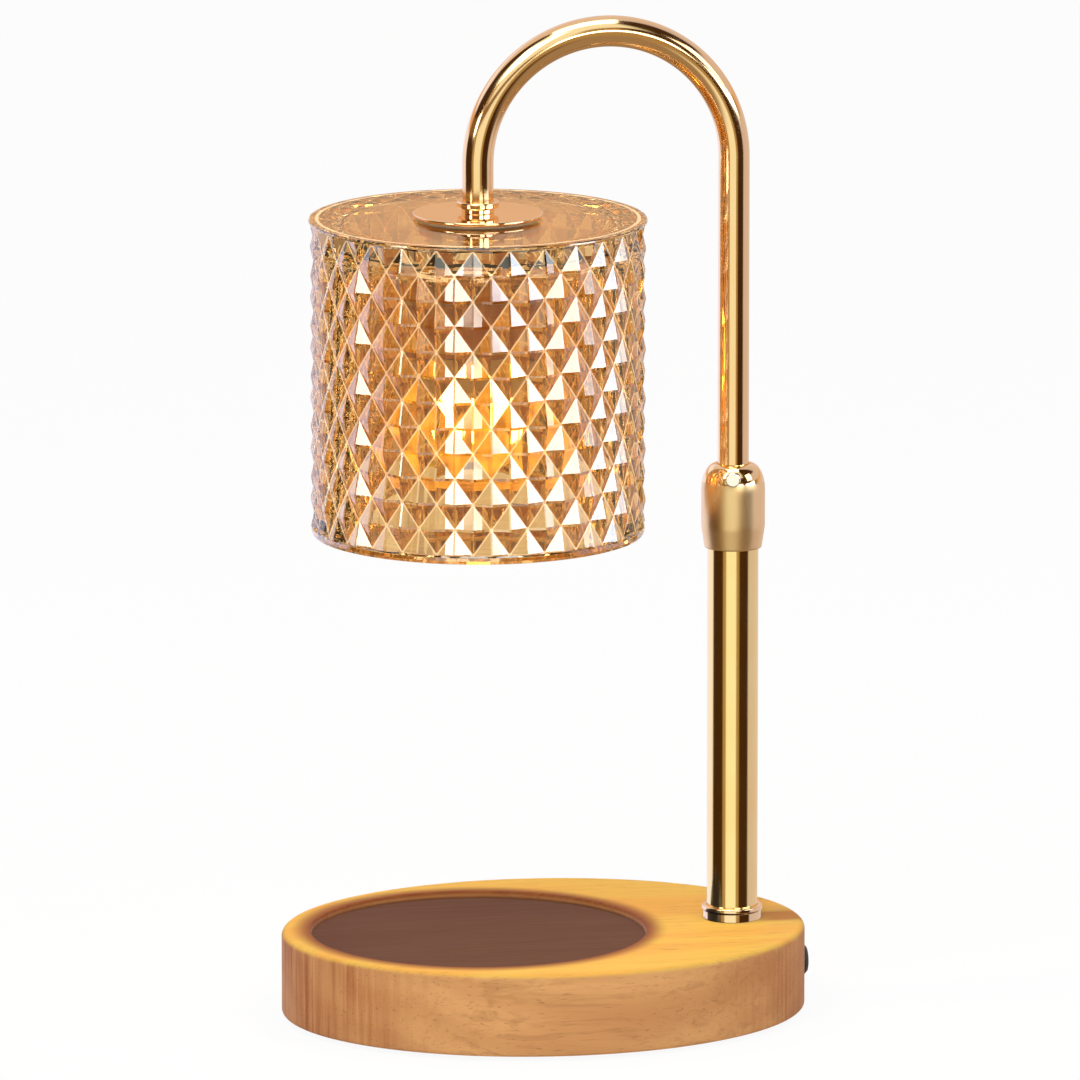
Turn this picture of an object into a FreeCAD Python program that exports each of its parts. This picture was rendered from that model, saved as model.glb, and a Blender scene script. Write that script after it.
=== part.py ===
import FreeCAD, Part
import math
import os
import re
import Sketcher

# Height-adjustable warmer lamp: an oval wooden base, a two-part brass-coloured post,
# a hooped arm and a pressed diamond-point glass shade over a recess in the base.
# The frame has its origin on the table under the middle of the base, +Z up,
# X along the base with the post at +X, and the front at -Y. Millimetres.

DRIVING_SIZES = [
    ("base_length", 187.0, "wooden base, long axis of its oval"),
    ("base_width", 154.0, "wooden base, short axis of its oval"),
    ("base_height", 29.5, "wooden base, bottom to top"),
    ("base_top_round", 2.0, "rounding of the base's top edge"),
    ("base_foot_round", 1.2, "rounding of the base's bottom edge"),
    ("foot_height", 1.5, "pads hold the wood this far off the table"),
    ("foot_diameter", 14.0, "rubber pad"),
    ("foot_along", 52.0, "pad from the middle, along the base"),
    ("foot_across", 38.0, "pad from the middle, across the base"),
    ("recess_diameter", 119.0, "round recess under the shade"),
    ("recess_depth", 2.6, "depth of the recess"),
    ("recess_margin", 10.5, "wood between the recess and the end of the oval"),
    ("recess_round", 0.9, "rounding of the recess's rim"),
    ("cavity_depth", 18.5, "hollow under the base, for the lead and the ballast"),
    ("cavity_wall", 14.0, "wood left round the hollow"),
    ("cover_lip", 8.0, "ledge that the bottom cover lies on"),
    ("cover_thickness", 2.0, "bottom cover"),
    ("cover_sink", 0.2, "cover lies this far inside the wood's bottom face"),
    ("cover_gap", 0.3, "gap round the cover"),
    ("cover_screw_turn", 32.0, "screws stand at this turn off the long axis, degrees"),
    ("screw_diameter", 3.0, "small screws, shank"),
    ("screw_head", 5.6, "small screws, head"),
    ("screw_head_height", 1.5, "small screws, head height"),
    ("screw_length", 9.0, "cover screws, shank length"),
    ("pilot_clearance", 0.15, "radial clearance round a screw's shank"),
    ("ballast_diameter", 94.0, "steel ballast disc"),
    ("ballast_thickness", 4.0, "steel ballast disc"),
    ("ballast_offset", 18.0, "ballast from the middle, away from the post"),
    ("ballast_screw_circle", 62.0, "circle of the ballast's three screws"),
    ("ballast_screw_length", 9.0, "ballast screws, shank length"),
    ("gland_height", 14.0, "gland's axis above the wood's bottom face"),
    ("gland_side", 4.0, "gland's axis in front of the long axis"),
    ("gland_flange", 11.0, "outer flange of the gland"),
    ("gland_flange_height", 2.4, "thickness of the flange"),
    ("gland_body", 8.0, "gland where it passes the wood"),
    ("gland_bore", 5.2, "gland's bore for the lead"),
    ("gland_seat", 13.0, "flat seat cut in the wood under the flange"),
    ("gland_seat_depth", 0.4, "least depth of that seat"),
    ("block_length", 24.0, "terminal block"),
    ("block_width", 13.0, "terminal block"),
    ("block_height", 10.0, "terminal block"),
    ("block_margin", 51.5, "terminal block's middle from the end of the oval"),
    ("block_across", 34.0, "terminal block from the long axis"),
    ("post_margin", 25.0, "post's axis from the end of the oval"),
    ("post_outer", 18.0, "lower post tube"),
    ("post_wall", 1.0, "lower post tube"),
    ("post_in_collar", 19.0, "lower post tube's top above the collar's bottom"),
    ("foot_ring_outer", 21.4, "trim ring at the post's foot"),
    ("foot_ring_height", 5.0, "trim ring at the post's foot"),
    ("ring_round", 0.8, "rounding of the trim ring"),
    ("fit_gap", 0.05, "radial clearance of every sliding or turning fit"),
    ("plug_height", 14.0, "plug in the post's foot"),
    ("stud_outer", 8.0, "hollow threaded stud and nipple"),
    ("stud_bore", 5.4, "bore of the stud and nipple"),
    ("stud_grip", 9.0, "stud's length inside the plug"),
    ("stud_past_nut", 2.0, "stud's end past its nut"),
    ("hole_gap", 0.3, "radial clearance of the holes that the stud and nipple pass"),
    ("nut_height", 5.0, "hexagon nuts"),
    ("nut_flats", 13.0, "hexagon nuts, across flats"),
    ("washer_outer", 20.0, "washer under the base"),
    ("washer_thickness", 1.5, "washer under the base"),
    ("collar_rise", 134.8, "collar's bottom above the base's top"),
    ("collar_length", 30.0, "locking collar"),
    ("collar_outer", 22.6, "locking collar, widest"),
    ("collar_foot", 20.4, "locking collar at its bottom edge"),
    ("collar_neck", 12.6, "locking collar at its top"),
    ("collar_taper", 8.0, "height over which the collar draws in at its foot"),
    ("dome_height", 9.4, "domed shoulder of the collar"),
    ("bush_outer", 15.0, "nylon bush in the collar"),
    ("bush_height", 4.0, "nylon bush in the collar"),
    ("snap_wire", 1.0, "snap ring, wire"),
    ("snap_below_top", 4.0, "snap ring below the post's top"),
    ("snap_open_turn", 40.0, "gap in the snap ring, degrees"),
    ("lock_drop", 3.9, "lock screw's axis below the collar's top"),
    ("lock_turn", -100.5, "direction that the lock screw faces, degrees from +X"),
    ("lock_head", 5.4, "lock screw, head"),
    ("lock_head_height", 2.2, "lock screw, head"),
    ("lock_reach", 11.7, "lock screw's face from the post's axis"),
    ("lock_shank", 3.0, "lock screw, shank"),
    ("lock_tip_gap", 0.1, "lock screw's tip from the arm tube, loosened"),
    ("arm_outer", 11.0, "arm tube"),
    ("arm_wall", 0.8, "arm tube"),
    ("arm_insert", 62.0, "arm tube's lower end below the collar's top"),
    ("arch_rise", 19.0, "arch's springing above the shade's top"),
    ("guide_height", 12.0, "guide bush on the arm's lower end"),
    ("guide_lip", 1.0, "lip of the guide bush under the tube's end"),
    ("insert_length", 12.0, "threaded insert in the arm's upper end"),
    ("shade_clear", 143.4, "shade's mouth above the base's top"),
    ("shade_height", 112.8, "glass shade"),
    ("shade_rim", 120.0, "glass shade, rim of its flat top"),
    ("shade_point", 118.6, "glass shade over the points of its diamonds"),
    ("shade_valley", 113.2, "glass shade over the valleys between the diamonds"),
    ("shade_lip", 117.6, "plain lip at the shade's mouth"),
    ("shade_lip_height", 3.2, "plain lip at the shade's mouth"),
    ("shade_rim_height", 1.6, "plain rim at the shade's top"),
    ("shade_wall", 4.6, "glass under the valleys"),
    ("shade_ceiling", 9.0, "glass of the flat top"),
    ("shade_corner", 5.0, "rounding inside, between wall and top"),
    ("diamonds_round", 28, "diamonds in one row round the shade"),
    ("diamonds_high", 6, "whole diamonds from rim to lip"),
    ("gasket_outer", 44.0, "soft washer on the glass"),
    ("gasket_thickness", 0.8, "soft washers"),
    ("disc_outer", 46.0, "polished disc on the glass"),
    ("disc_thickness", 1.2, "polished disc on the glass"),
    ("cap_outer", 15.0, "two-step cap nut, its upper flange"),
    ("cap_neck", 11.6, "two-step cap nut, its lower neck"),
    ("cap_neck_height", 1.8, "two-step cap nut, its lower neck"),
    ("cap_height", 4.2, "two-step cap nut"),
    ("cap_seat", 1.8, "depth of the cap nut's seat for the arm tube"),
    ("under_outer", 36.0, "metal washer under the glass"),
    ("under_thickness", 1.2, "metal washer under the glass"),
    ("bracket_width", 30.0, "holder bracket"),
    ("bracket_depth", 12.0, "holder bracket"),
    ("bracket_height", 12.5, "holder bracket"),
    ("bracket_sheet", 1.0, "holder bracket"),
    ("holder_width", 27.0, "ceramic lamp holder"),
    ("holder_depth", 18.0, "ceramic lamp holder"),
    ("holder_height", 19.0, "ceramic lamp holder"),
    ("holder_screws_apart", 20.0, "screws that hold the lamp holder"),
    ("holder_screw_length", 10.0, "screws that hold the lamp holder"),
    ("pins_apart", 10.0, "bulb pins"),
    ("pin_neck", 3.2, "bulb pins"),
    ("pin_head", 4.6, "bulb pins"),
    ("pin_length", 7.0, "bulb pins"),
    ("pin_head_height", 2.6, "bulb pins"),
    ("slot_gap", 0.5, "clearance round the pins in the holder's slots"),
    ("twist_turn", 20.0, "bulb's turn in its holder, degrees"),
    ("bulb_gap", 0.3, "gap between the bulb and its holder"),
    ("bulb_base_outer", 21.0, "bulb base"),
    ("bulb_base_height", 14.0, "bulb base"),
    ("bulb_outer", 50.0, "reflector at its mouth"),
    ("bulb_length", 46.0, "bulb without its pins"),
    ("bulb_wall", 1.3, "reflector glass"),
    ("bulb_rim_height", 4.0, "straight rim of the reflector"),
    ("lens_thickness", 2.4, "front lens"),
    ("lens_gap", 0.05, "gap round the lens"),
    ("capsule_outer", 10.0, "capsule in the reflector"),
    ("capsule_length", 17.0, "capsule in the reflector"),
]

doc = FreeCAD.newDocument("warmer_lamp")
sheet = doc.addObject("Spreadsheet::Sheet", "Sizes")
for row, (alias, number, note) in enumerate(DRIVING_SIZES, start=1):
    sheet.set("A%d" % row, note)
    sheet.set("B%d" % row, str(number))
    sheet.setAlias("B%d" % row, alias)
doc.recompute()

ALIASES = {alias for alias, _, _ in DRIVING_SIZES}
PARTS = []


def bound(formula):
    """The formula with each size's name pointing at its cell."""
    def cell(word):
        return "Sizes." + word.group() if word.group() in ALIASES else word.group()
    return re.sub(r"[a-z_]+", cell, formula)


def size(formula):
    """The formula's value now."""
    return float(sheet.evalExpression(bound(formula)))


# Heights and places that several pieces share, each a formula of the driving sizes.
WOOD_TOP = "(foot_height + base_height)"
CEILING = "(foot_height + cavity_depth)"
POST_AXIS = "(base_length / 2 - post_margin)"
SHADE_AXIS = "(recess_diameter / 2 + recess_margin - base_length / 2)"
POST_REACH = "(base_length - post_margin - recess_diameter / 2 - recess_margin)"
POST_LENGTH = "(collar_rise + post_in_collar)"
POST_TOP = "(%s + %s)" % (WOOD_TOP, POST_LENGTH)
COLLAR_FOOT = "(%s + collar_rise)" % WOOD_TOP
COLLAR_TOP = "(%s + collar_length)" % COLLAR_FOOT
SHADE_FOOT = "(%s + shade_clear)" % WOOD_TOP
SHADE_TOP = "(%s + shade_height)" % SHADE_FOOT
DISC_FOOT = "(%s + gasket_thickness)" % SHADE_TOP
CAP_FOOT = "(%s + disc_thickness)" % DISC_FOOT
ARM_END = "(%s + cap_height - cap_seat)" % CAP_FOOT
GLASS_CEILING = "(%s - shade_ceiling)" % SHADE_TOP
UNDER_FOOT = "(%s - gasket_thickness - under_thickness)" % GLASS_CEILING
BRACKET_FOOT = "(%s - bracket_height)" % UNDER_FOOT
HOLDER_FOOT = "(%s - holder_height)" % BRACKET_FOOT
BULB_TOP = "(%s - bulb_gap)" % HOLDER_FOOT


def new_body(name, at=("0", "0", "0"), turn=None, about=(0, 0, 1)):
    """An empty body with its place bound to the sheet; turn is a formula in degrees."""
    body = doc.addObject("PartDesign::Body", name + "_body")
    body.Label = name
    if turn:
        body.Placement.Rotation = FreeCAD.Rotation(FreeCAD.Vector(*about), size(turn))
        body.setExpression("Placement.Rotation.Angle", bound(turn))
    for axis, formula in zip("xyz", at):
        if formula != "0":
            body.setExpression("Placement.Base." + axis, bound(formula))
    PARTS.append(body)
    return body


def sketch_on(body, plane, height=None):
    """A sketch on one of the body's origin planes, lifted along its normal by a formula."""
    face = next(f for f in body.Origin.OriginFeatures if f.Role == plane)
    sketch = body.newObject("Sketcher::SketchObject", "Sketch")
    sketch.AttachmentSupport = [(face, "")]
    sketch.MapMode = "FlatFace"
    if height:
        sketch.setExpression("AttachmentOffset.Base.z", bound(height))
    return sketch


def pin_point(sketch, geometry, end, across, up):
    """Holds a point of the sketch at two formulas, measured from the origin."""
    for kind, axis, formula in (("DistanceX", -2, across), ("DistanceY", -1, up)):
        if formula == "0":
            sketch.addConstraint(Sketcher.Constraint("PointOnObject", geometry, end, axis))
            continue
        value = size(formula)
        # A signed distance runs from the lower point to the higher one.
        if value >= 0:
            index = sketch.addConstraint(Sketcher.Constraint(kind, -1, 1, geometry, end, value))
            sketch.setExpression("Constraints[%d]" % index, bound(formula))
        else:
            index = sketch.addConstraint(Sketcher.Constraint(kind, geometry, end, -1, 1, -value))
            sketch.setExpression("Constraints[%d]" % index, bound("-(%s)" % formula))


def outline(sketch, corners, closed=True):
    """Lines and arcs through corners, each (across, up) or (across, up, radius, side).

    A corner with a radius is reached by an arc whose centre is on the left (side 1)
    or on the right (side -1) of the way there. A corner (across, up, "half turn") is
    reached by a half circle on the right of the way, tangent to the line before it.
    """
    places = [FreeCAD.Vector(size(c[0]), size(c[1]), 0) for c in corners]
    count = len(corners) if closed else len(corners) - 1
    ends = []
    for step in range(count):
        start, goal = places[step], places[(step + 1) % len(corners)]
        corner = corners[(step + 1) % len(corners)]
        if len(corner) == 2:
            edge = sketch.addGeometry(Part.LineSegment(start, goal), False)
            ends.append((edge, 1, 2))
            continue
        half = (goal - start) * 0.5
        if corner[2] == "half turn":
            arc = Part.Arc(start, start + half + FreeCAD.Vector(half.y, -half.x, 0), goal)
            edge = sketch.addGeometry(arc, False)
            ends.append((edge, 1, 2))
            sketch.addConstraint(Sketcher.Constraint("Horizontal", edge, 1, edge, 3))
            continue
        radius, side = size(corner[2]), corner[3]
        left = FreeCAD.Vector(-half.y, half.x, 0).normalize()
        reach = math.sqrt(max(radius * radius - half.Length ** 2, 0.0))
        centre = start + half + left * (side * reach)
        away = (start + half - centre).normalize()
        # An arc's first point is always the one that it leaves anticlockwise.
        first, last = (start, goal) if side > 0 else (goal, start)
        edge = sketch.addGeometry(Part.Arc(first, centre + away * radius, last), False)
        ends.append((edge, 1, 2) if side > 0 else (edge, 2, 1))
        index = sketch.addConstraint(Sketcher.Constraint("Radius", edge, radius))
        sketch.setExpression("Constraints[%d]" % index, bound(corner[2]))
    for step in range(len(ends) if closed else len(ends) - 1):
        edge, _, last = ends[step]
        other, first, _ = ends[(step + 1) % len(ends)]
        sketch.addConstraint(Sketcher.Constraint("Coincident", edge, last, other, first))
    for step, (edge, first, _) in enumerate(ends):
        pin_point(sketch, edge, first, corners[step][0], corners[step][1])
    if not closed:
        pin_point(sketch, ends[-1][0], ends[-1][2], corners[-1][0], corners[-1][1])
    return sketch


def circle(sketch, diameter, across="0", up="0"):
    """A circle with its diameter and its centre bound."""
    centre = FreeCAD.Vector(size(across), size(up), 0)
    edge = sketch.addGeometry(Part.Circle(centre, FreeCAD.Vector(0, 0, 1), size(diameter) / 2), False)
    index = sketch.addConstraint(Sketcher.Constraint("Diameter", edge, size(diameter)))
    sketch.setExpression("Constraints[%d]" % index, bound(diameter))
    pin_point(sketch, edge, 3, across, up)
    return edge


def oval(sketch, length, width):
    """An ellipse round the origin, long axis along X, with both axes bound."""
    shape = Part.Ellipse(FreeCAD.Vector(0, 0, 0), size(length) / 2, size(width) / 2)
    edge = sketch.addGeometry(shape, False)
    sketch.exposeInternalGeometry(edge)
    sketch.addConstraint(Sketcher.Constraint("Coincident", edge, 3, -1, 1))
    sketch.addConstraint(Sketcher.Constraint("Horizontal", edge + 1))
    for line, formula in ((edge + 1, length), (edge + 2, width)):
        index = sketch.addConstraint(Sketcher.Constraint("Distance", line, size(formula)))
        sketch.setExpression("Constraints[%d]" % index, bound(formula))


def rectangle(sketch, wide, deep, across="0", up="0"):
    """A rectangle round a centre."""
    left, right = "%s - (%s) / 2" % (across, wide), "%s + (%s) / 2" % (across, wide)
    low, high = "%s - (%s) / 2" % (up, deep), "%s + (%s) / 2" % (up, deep)
    outline(sketch, [(left, low), (right, low), (right, high), (left, high)])


def hexagon(sketch, flats):
    """A hexagon round the origin, two of its corners on the X axis."""
    reach = "(%s) / sqrt(3)" % flats
    half = "(%s) / 2" % flats
    near = "(%s) / sqrt(3) / 2" % flats
    outline(sketch, [(reach, "0"), (near, half), ("-(%s)" % near, half), ("-(%s)" % reach, "0"),
                     ("-(%s)" % near, "-(%s)" % half), (near, "-(%s)" % half)])


def feature(body, kind, sketch, **bindings):
    """A pad, pocket, revolution or groove of the body, with its lengths bound."""
    made = body.newObject("PartDesign::" + kind, kind)
    made.Profile = sketch
    for name, setting in bindings.items():
        if isinstance(setting, str):
            made.setExpression(name, bound(setting))
        else:
            setattr(made, name, setting)
    if kind in ("Revolution", "Groove"):
        made.ReferenceAxis = (sketch, ["V_Axis"])
        if "Angle" not in bindings:
            made.Angle = 360.0
    sketch.Visibility = False
    doc.recompute()
    return made


def turned(name, corners, at, **settings):
    """A piece turned about its own upright axis from a half profile."""
    body = new_body(name, at, **settings)
    feature(body, "Revolution", outline(sketch_on(body, "XZ_Plane"), corners))
    return body


def edges_where(body, test):
    """Names of the body's edges whose own points all pass the test, in its own frame."""
    shape = body.Tip.Shape
    names = []
    for number, edge in enumerate(shape.Edges, start=1):
        points = [edge.valueAt(edge.FirstParameter + part * (edge.LastParameter - edge.FirstParameter))
                  for part in (0.05, 0.35, 0.65, 0.95)]
        if all(test(point) for point in points):
            names.append("Edge%d" % number)
    return names


def rounded(body, radius, test):
    """Rounds the edges that pass the test."""
    names = edges_where(body, test)
    base = body.Tip
    made = body.newObject("PartDesign::Fillet", "Fillet")
    made.Base = (base, names)
    made.setExpression("Radius", bound(radius))
    doc.recompute()
    return made


def ring(name, outer, inner, height, at):
    """A plain ring or washer."""
    body = new_body(name, at)
    sketch = sketch_on(body, "XY_Plane")
    circle(sketch, outer)
    circle(sketch, inner)
    feature(body, "Pad", sketch, Length=height)
    return body


def group(name, solids, places):
    """Copies of one solid at several places, kept as separate solids in one piece."""
    made = doc.addObject("Part::Feature", name + "_set")
    made.Label = name
    made.Shape = Part.makeCompound([solids.copy().translated(place) for place in places])
    PARTS.append(made)
    return made


def screw(shank_length):
    """A small pan-head screw with its head below the origin and its shank going up."""
    head = Part.makeCylinder(size("screw_head") / 2, size("screw_head_height"),
                             FreeCAD.Vector(0, 0, -size("screw_head_height")))
    head = head.makeFillet(size("screw_head_height") * 0.4,
                           [edge for edge in head.Edges
                            if edge.BoundBox.ZMax < -size("screw_head_height") + 1e-6])
    tip = size("screw_diameter") / 2
    shank = Part.makeCylinder(tip, size(shank_length) - tip)
    point = Part.makeCone(tip, tip * 0.3, tip, FreeCAD.Vector(0, 0, size(shank_length) - tip))
    return head.fuse([shank, point]).removeSplitter()


def screw_places(kind):
    """Where the screws of the cover, the ballast and the holder stand."""
    if kind == "cover":
        along = size("base_length / 2 - cavity_wall + cover_lip / 2")
        across = size("base_width / 2 - cavity_wall + cover_lip / 2")
        turn = math.radians(size("cover_screw_turn"))
        return [FreeCAD.Vector(sx * along * math.cos(turn), sy * across * math.sin(turn), 0)
                for sx in (-1, 1) for sy in (-1, 1)]
    reach = size("ballast_screw_circle / 2")
    return [FreeCAD.Vector(-size("ballast_offset") + reach * math.cos(math.radians(turn)),
                           reach * math.sin(math.radians(turn)), 0) for turn in (60, 180, 300)]


def make_wood_base():
    """Oval block with the recess on top, a hollow below, and holes for the post and the gland."""
    body = new_body("wood_base", ("0", "0", "foot_height"))
    sketch = sketch_on(body, "XY_Plane")
    oval(sketch, "base_length", "base_width")
    feature(body, "Pad", sketch, Length="base_height")
    top = size("base_height")
    rounded(body, "base_top_round", lambda p: abs(p.z - top) < 1e-6)
    rounded(body, "base_foot_round", lambda p: abs(p.z) < 1e-6)
    sketch = sketch_on(body, "XY_Plane", "base_height")
    circle(sketch, "recess_diameter", SHADE_AXIS)
    feature(body, "Pocket", sketch, Length="recess_depth")
    centre, radius = size(SHADE_AXIS), size("recess_diameter / 2")
    rounded(body, "recess_round", lambda p: abs(p.z - top) < 1e-6
            and abs(math.hypot(p.x - centre, p.y) - radius) < 1e-4)
    sketch = sketch_on(body, "XY_Plane")
    oval(sketch, "base_length - 2 * cavity_wall", "base_width - 2 * cavity_wall")
    feature(body, "Pocket", sketch, Length="cavity_depth", Reversed=True)
    # Room for the washer wherever the post stands.
    sketch = sketch_on(body, "XY_Plane")
    circle(sketch, "washer_outer + 2 * hole_gap", POST_AXIS)
    feature(body, "Pocket", sketch, Length="cavity_depth", Reversed=True)
    sketch = sketch_on(body, "XY_Plane")
    oval(sketch, "base_length - 2 * cavity_wall + 2 * cover_lip",
         "base_width - 2 * cavity_wall + 2 * cover_lip")
    feature(body, "Pocket", sketch, Length="cover_thickness + cover_sink", Reversed=True)
    sketch = sketch_on(body, "XY_Plane", "base_height")
    circle(sketch, "stud_outer + 2 * hole_gap", POST_AXIS)
    feature(body, "Pocket", sketch, Length="base_height")
    sketch = sketch_on(body, "YZ_Plane", "base_length / 2 + gland_flange_height")
    circle(sketch, "gland_seat", "-gland_side", "gland_height")
    feature(body, "Pocket", sketch, Length="gland_flange_height + %s" % GLAND_SINK)
    sketch = sketch_on(body, "YZ_Plane", "base_length / 2 + gland_flange_height")
    circle(sketch, "gland_body + 2 * hole_gap", "-gland_side", "gland_height")
    feature(body, "Pocket", sketch, Length="gland_flange_height + 2 * cavity_wall")
    sketch = sketch_on(body, "XY_Plane")
    for place in screw_places("cover"):
        circle(sketch, "screw_diameter + 2 * pilot_clearance",
               *cover_screw_formula(place))
    feature(body, "Pocket", sketch, Length="cover_sink + cover_thickness + screw_length",
            Reversed=True)
    sketch = sketch_on(body, "XY_Plane", "cavity_depth")
    for turn in (60, 180, 300):
        circle(sketch, "screw_diameter + 2 * pilot_clearance", *ballast_screw_formula(turn))
    feature(body, "Pocket", sketch,
            Length="ballast_screw_length - ballast_thickness + pilot_clearance", Reversed=True)
    return body


# The seat under the gland's flange is flat, so it goes as deep as the oval falls away there.
GLAND_SINK = ("(gland_seat_depth + base_length / 2 - base_length / 2 * sqrt(1 - (gland_side"
              " + gland_seat / 2) * (gland_side + gland_seat / 2) * 4 / base_width / base_width))")


def cover_screw_formula(place):
    """Formulas of one cover screw's place, from the corner that it stands in."""
    along = "(base_length / 2 - cavity_wall + cover_lip / 2) * cos(cover_screw_turn * 1deg)"
    across = "(base_width / 2 - cavity_wall + cover_lip / 2) * sin(cover_screw_turn * 1deg)"
    return (along if place.x > 0 else "-(%s)" % along, across if place.y > 0 else "-(%s)" % across)


def ballast_screw_formula(turn):
    """Formulas of one ballast screw's place on its circle."""
    return ("-ballast_offset + ballast_screw_circle / 2 * cos(%ddeg)" % turn,
            "0" if turn == 180 else "ballast_screw_circle / 2 * sin(%ddeg)" % turn)


def make_bottom_cover():
    """Plate that closes the hollow, with a hole for each screw."""
    body = new_body("bottom_cover", ("0", "0", "foot_height + cover_sink"))
    sketch = sketch_on(body, "XY_Plane")
    oval(sketch, "base_length - 2 * cavity_wall + 2 * cover_lip - 2 * cover_gap",
         "base_width - 2 * cavity_wall + 2 * cover_lip - 2 * cover_gap")
    for place in screw_places("cover"):
        circle(sketch, "screw_diameter + 2 * pilot_clearance", *cover_screw_formula(place))
    feature(body, "Pad", sketch, Length="cover_thickness")
    return body


def make_cover_screws():
    """Four screws, heads up to the cover's lower face."""
    height = FreeCAD.Vector(0, 0, size("foot_height + cover_sink"))
    flat = screw("screw_length")
    group("cover_screws", flat, [place + height for place in screw_places("cover")])


def make_rubber_feet():
    """Five round pads with a softened lower edge: one in the middle and four round it."""
    height = size("foot_height + cover_sink")
    radius = size("foot_diameter / 2")
    pad = Part.makeCylinder(radius, height)
    pad = pad.makeFillet(height * 0.3, [edge for edge in pad.Edges if edge.BoundBox.ZMax < 1e-6])
    along, across = size("foot_along"), size("foot_across")
    places = [FreeCAD.Vector(sx * along, sy * across, 0) for sx in (-1, 1) for sy in (-1, 1)]
    group("rubber_feet", pad, [FreeCAD.Vector()] + places)


def make_ballast():
    """Steel disc against the hollow's ceiling, and its three screws."""
    body = new_body("ballast_plate", ("0", "0", "%s - ballast_thickness" % CEILING))
    sketch = sketch_on(body, "XY_Plane")
    circle(sketch, "ballast_diameter", "-ballast_offset")
    for turn in (60, 180, 300):
        circle(sketch, "screw_diameter + 2 * pilot_clearance", *ballast_screw_formula(turn))
    feature(body, "Pad", sketch, Length="ballast_thickness")
    height = FreeCAD.Vector(0, 0, size("%s - ballast_thickness" % CEILING))
    group("ballast_screws", screw("ballast_screw_length"),
          [place + height for place in screw_places("ballast")])


def make_gland():
    """Flanged bush for the lead, lying along X in the end of the base."""
    body = new_body("cord_gland",
                    ("base_length / 2 - %s" % GLAND_SINK, "-gland_side", "foot_height + gland_height"),
                    turn="90", about=(0, 1, 0))
    length = "(cavity_wall - 1)"
    outline_points = [
        ("gland_bore / 2", "-%s" % length), ("gland_body / 2", "-%s" % length),
        ("gland_body / 2", "0"), ("gland_flange / 2", "0"),
        ("gland_flange / 2", "gland_flange_height * 0.6"),
        ("gland_flange / 2 - gland_flange_height * 0.4", "gland_flange_height"),
        ("gland_bore / 2 + gland_flange_height * 0.4", "gland_flange_height"),
        ("gland_bore / 2", "gland_flange_height * 0.6"),
    ]
    feature(body, "Revolution", outline(sketch_on(body, "XZ_Plane"), outline_points))
    return body


def make_terminal_block():
    """Three-way block with its clamp holes, on the hollow's ceiling."""
    body = new_body("terminal_block", ("base_length / 2 - block_margin", "block_across",
                                       "%s - block_height" % CEILING))
    sketch = sketch_on(body, "XY_Plane")
    rectangle(sketch, "block_width", "block_length")
    feature(body, "Pad", sketch, Length="block_height")
    sketch = sketch_on(body, "YZ_Plane", "-block_width / 2")
    for step in (-1, 0, 1):
        circle(sketch, "block_length / 6", "block_length / 3.2 * %d" % step if step else "0",
               "block_height / 2")
    feature(body, "Pocket", sketch, Length="block_width", Reversed=True)
    return body


def make_post():
    """Lower tube with its plug, stud, washer, nut and trim ring."""
    groove_low = "%s - snap_below_top - snap_wire / 2" % POST_LENGTH
    groove_high = "%s - snap_below_top + snap_wire / 2" % POST_LENGTH
    turned("post_tube", [
        ("post_outer / 2 - post_wall", "0"), ("post_outer / 2", "0"), ("post_outer / 2", groove_low),
        ("post_outer / 2 - snap_wire / 2", groove_low), ("post_outer / 2 - snap_wire / 2", groove_high),
        ("post_outer / 2", groove_high), ("post_outer / 2", POST_LENGTH),
        ("post_outer / 2 - post_wall", POST_LENGTH)], (POST_AXIS, "0", WOOD_TOP))
    body = ring("foot_ring", "foot_ring_outer", "post_outer + 2 * fit_gap", "foot_ring_height",
                (POST_AXIS, "0", WOOD_TOP))
    height, radius = size("foot_ring_height"), size("foot_ring_outer / 2")
    rounded(body, "ring_round", lambda p: abs(p.z - height) < 1e-6
            and abs(math.hypot(p.x, p.y) - radius) < 1e-4)
    turned("post_plug", [
        ("stud_outer / 2", "0"), ("post_outer / 2 - post_wall", "0"),
        ("post_outer / 2 - post_wall", "plug_height - 1"),
        ("post_outer / 2 - post_wall - 1", "plug_height"),
        ("stud_bore / 2", "plug_height"), ("stud_bore / 2", "stud_grip"),
        ("stud_outer / 2", "stud_grip")], (POST_AXIS, "0", WOOD_TOP))
    ring("post_stud", "stud_outer", "stud_bore",
         "%s + stud_grip - %s" % (WOOD_TOP, STUD_FOOT), (POST_AXIS, "0", STUD_FOOT))
    ring("post_washer", "washer_outer", "stud_outer + 2 * hole_gap", "washer_thickness",
         (POST_AXIS, "0", "%s - washer_thickness" % CEILING))
    make_nut("post_nut", (POST_AXIS, "0", "%s - washer_thickness - nut_height" % CEILING))


STUD_FOOT = "(%s - washer_thickness - nut_height - stud_past_nut)" % CEILING


def make_nut(name, at):
    """Hexagon nut with its outer corners turned off at both ends."""
    body = new_body(name, at)
    sketch = sketch_on(body, "XY_Plane")
    hexagon(sketch, "nut_flats")
    circle(sketch, "stud_outer")
    feature(body, "Pad", sketch, Length="nut_height")
    reach, slope = "nut_flats / sqrt(3)", "nut_height / 6"
    for end, way in (("0", "%s"), ("nut_height", "nut_height - %s")):
        sketch = outline(sketch_on(body, "XZ_Plane"), [
            ("nut_flats / 2", end), ("%s + 1" % reach, end),
            ("%s + 1" % reach, way % ("(%s + %s)" % (slope, slope))),
            ("%s" % reach, way % ("(%s)" % slope))])
        feature(body, "Groove", sketch)
    return body


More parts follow.
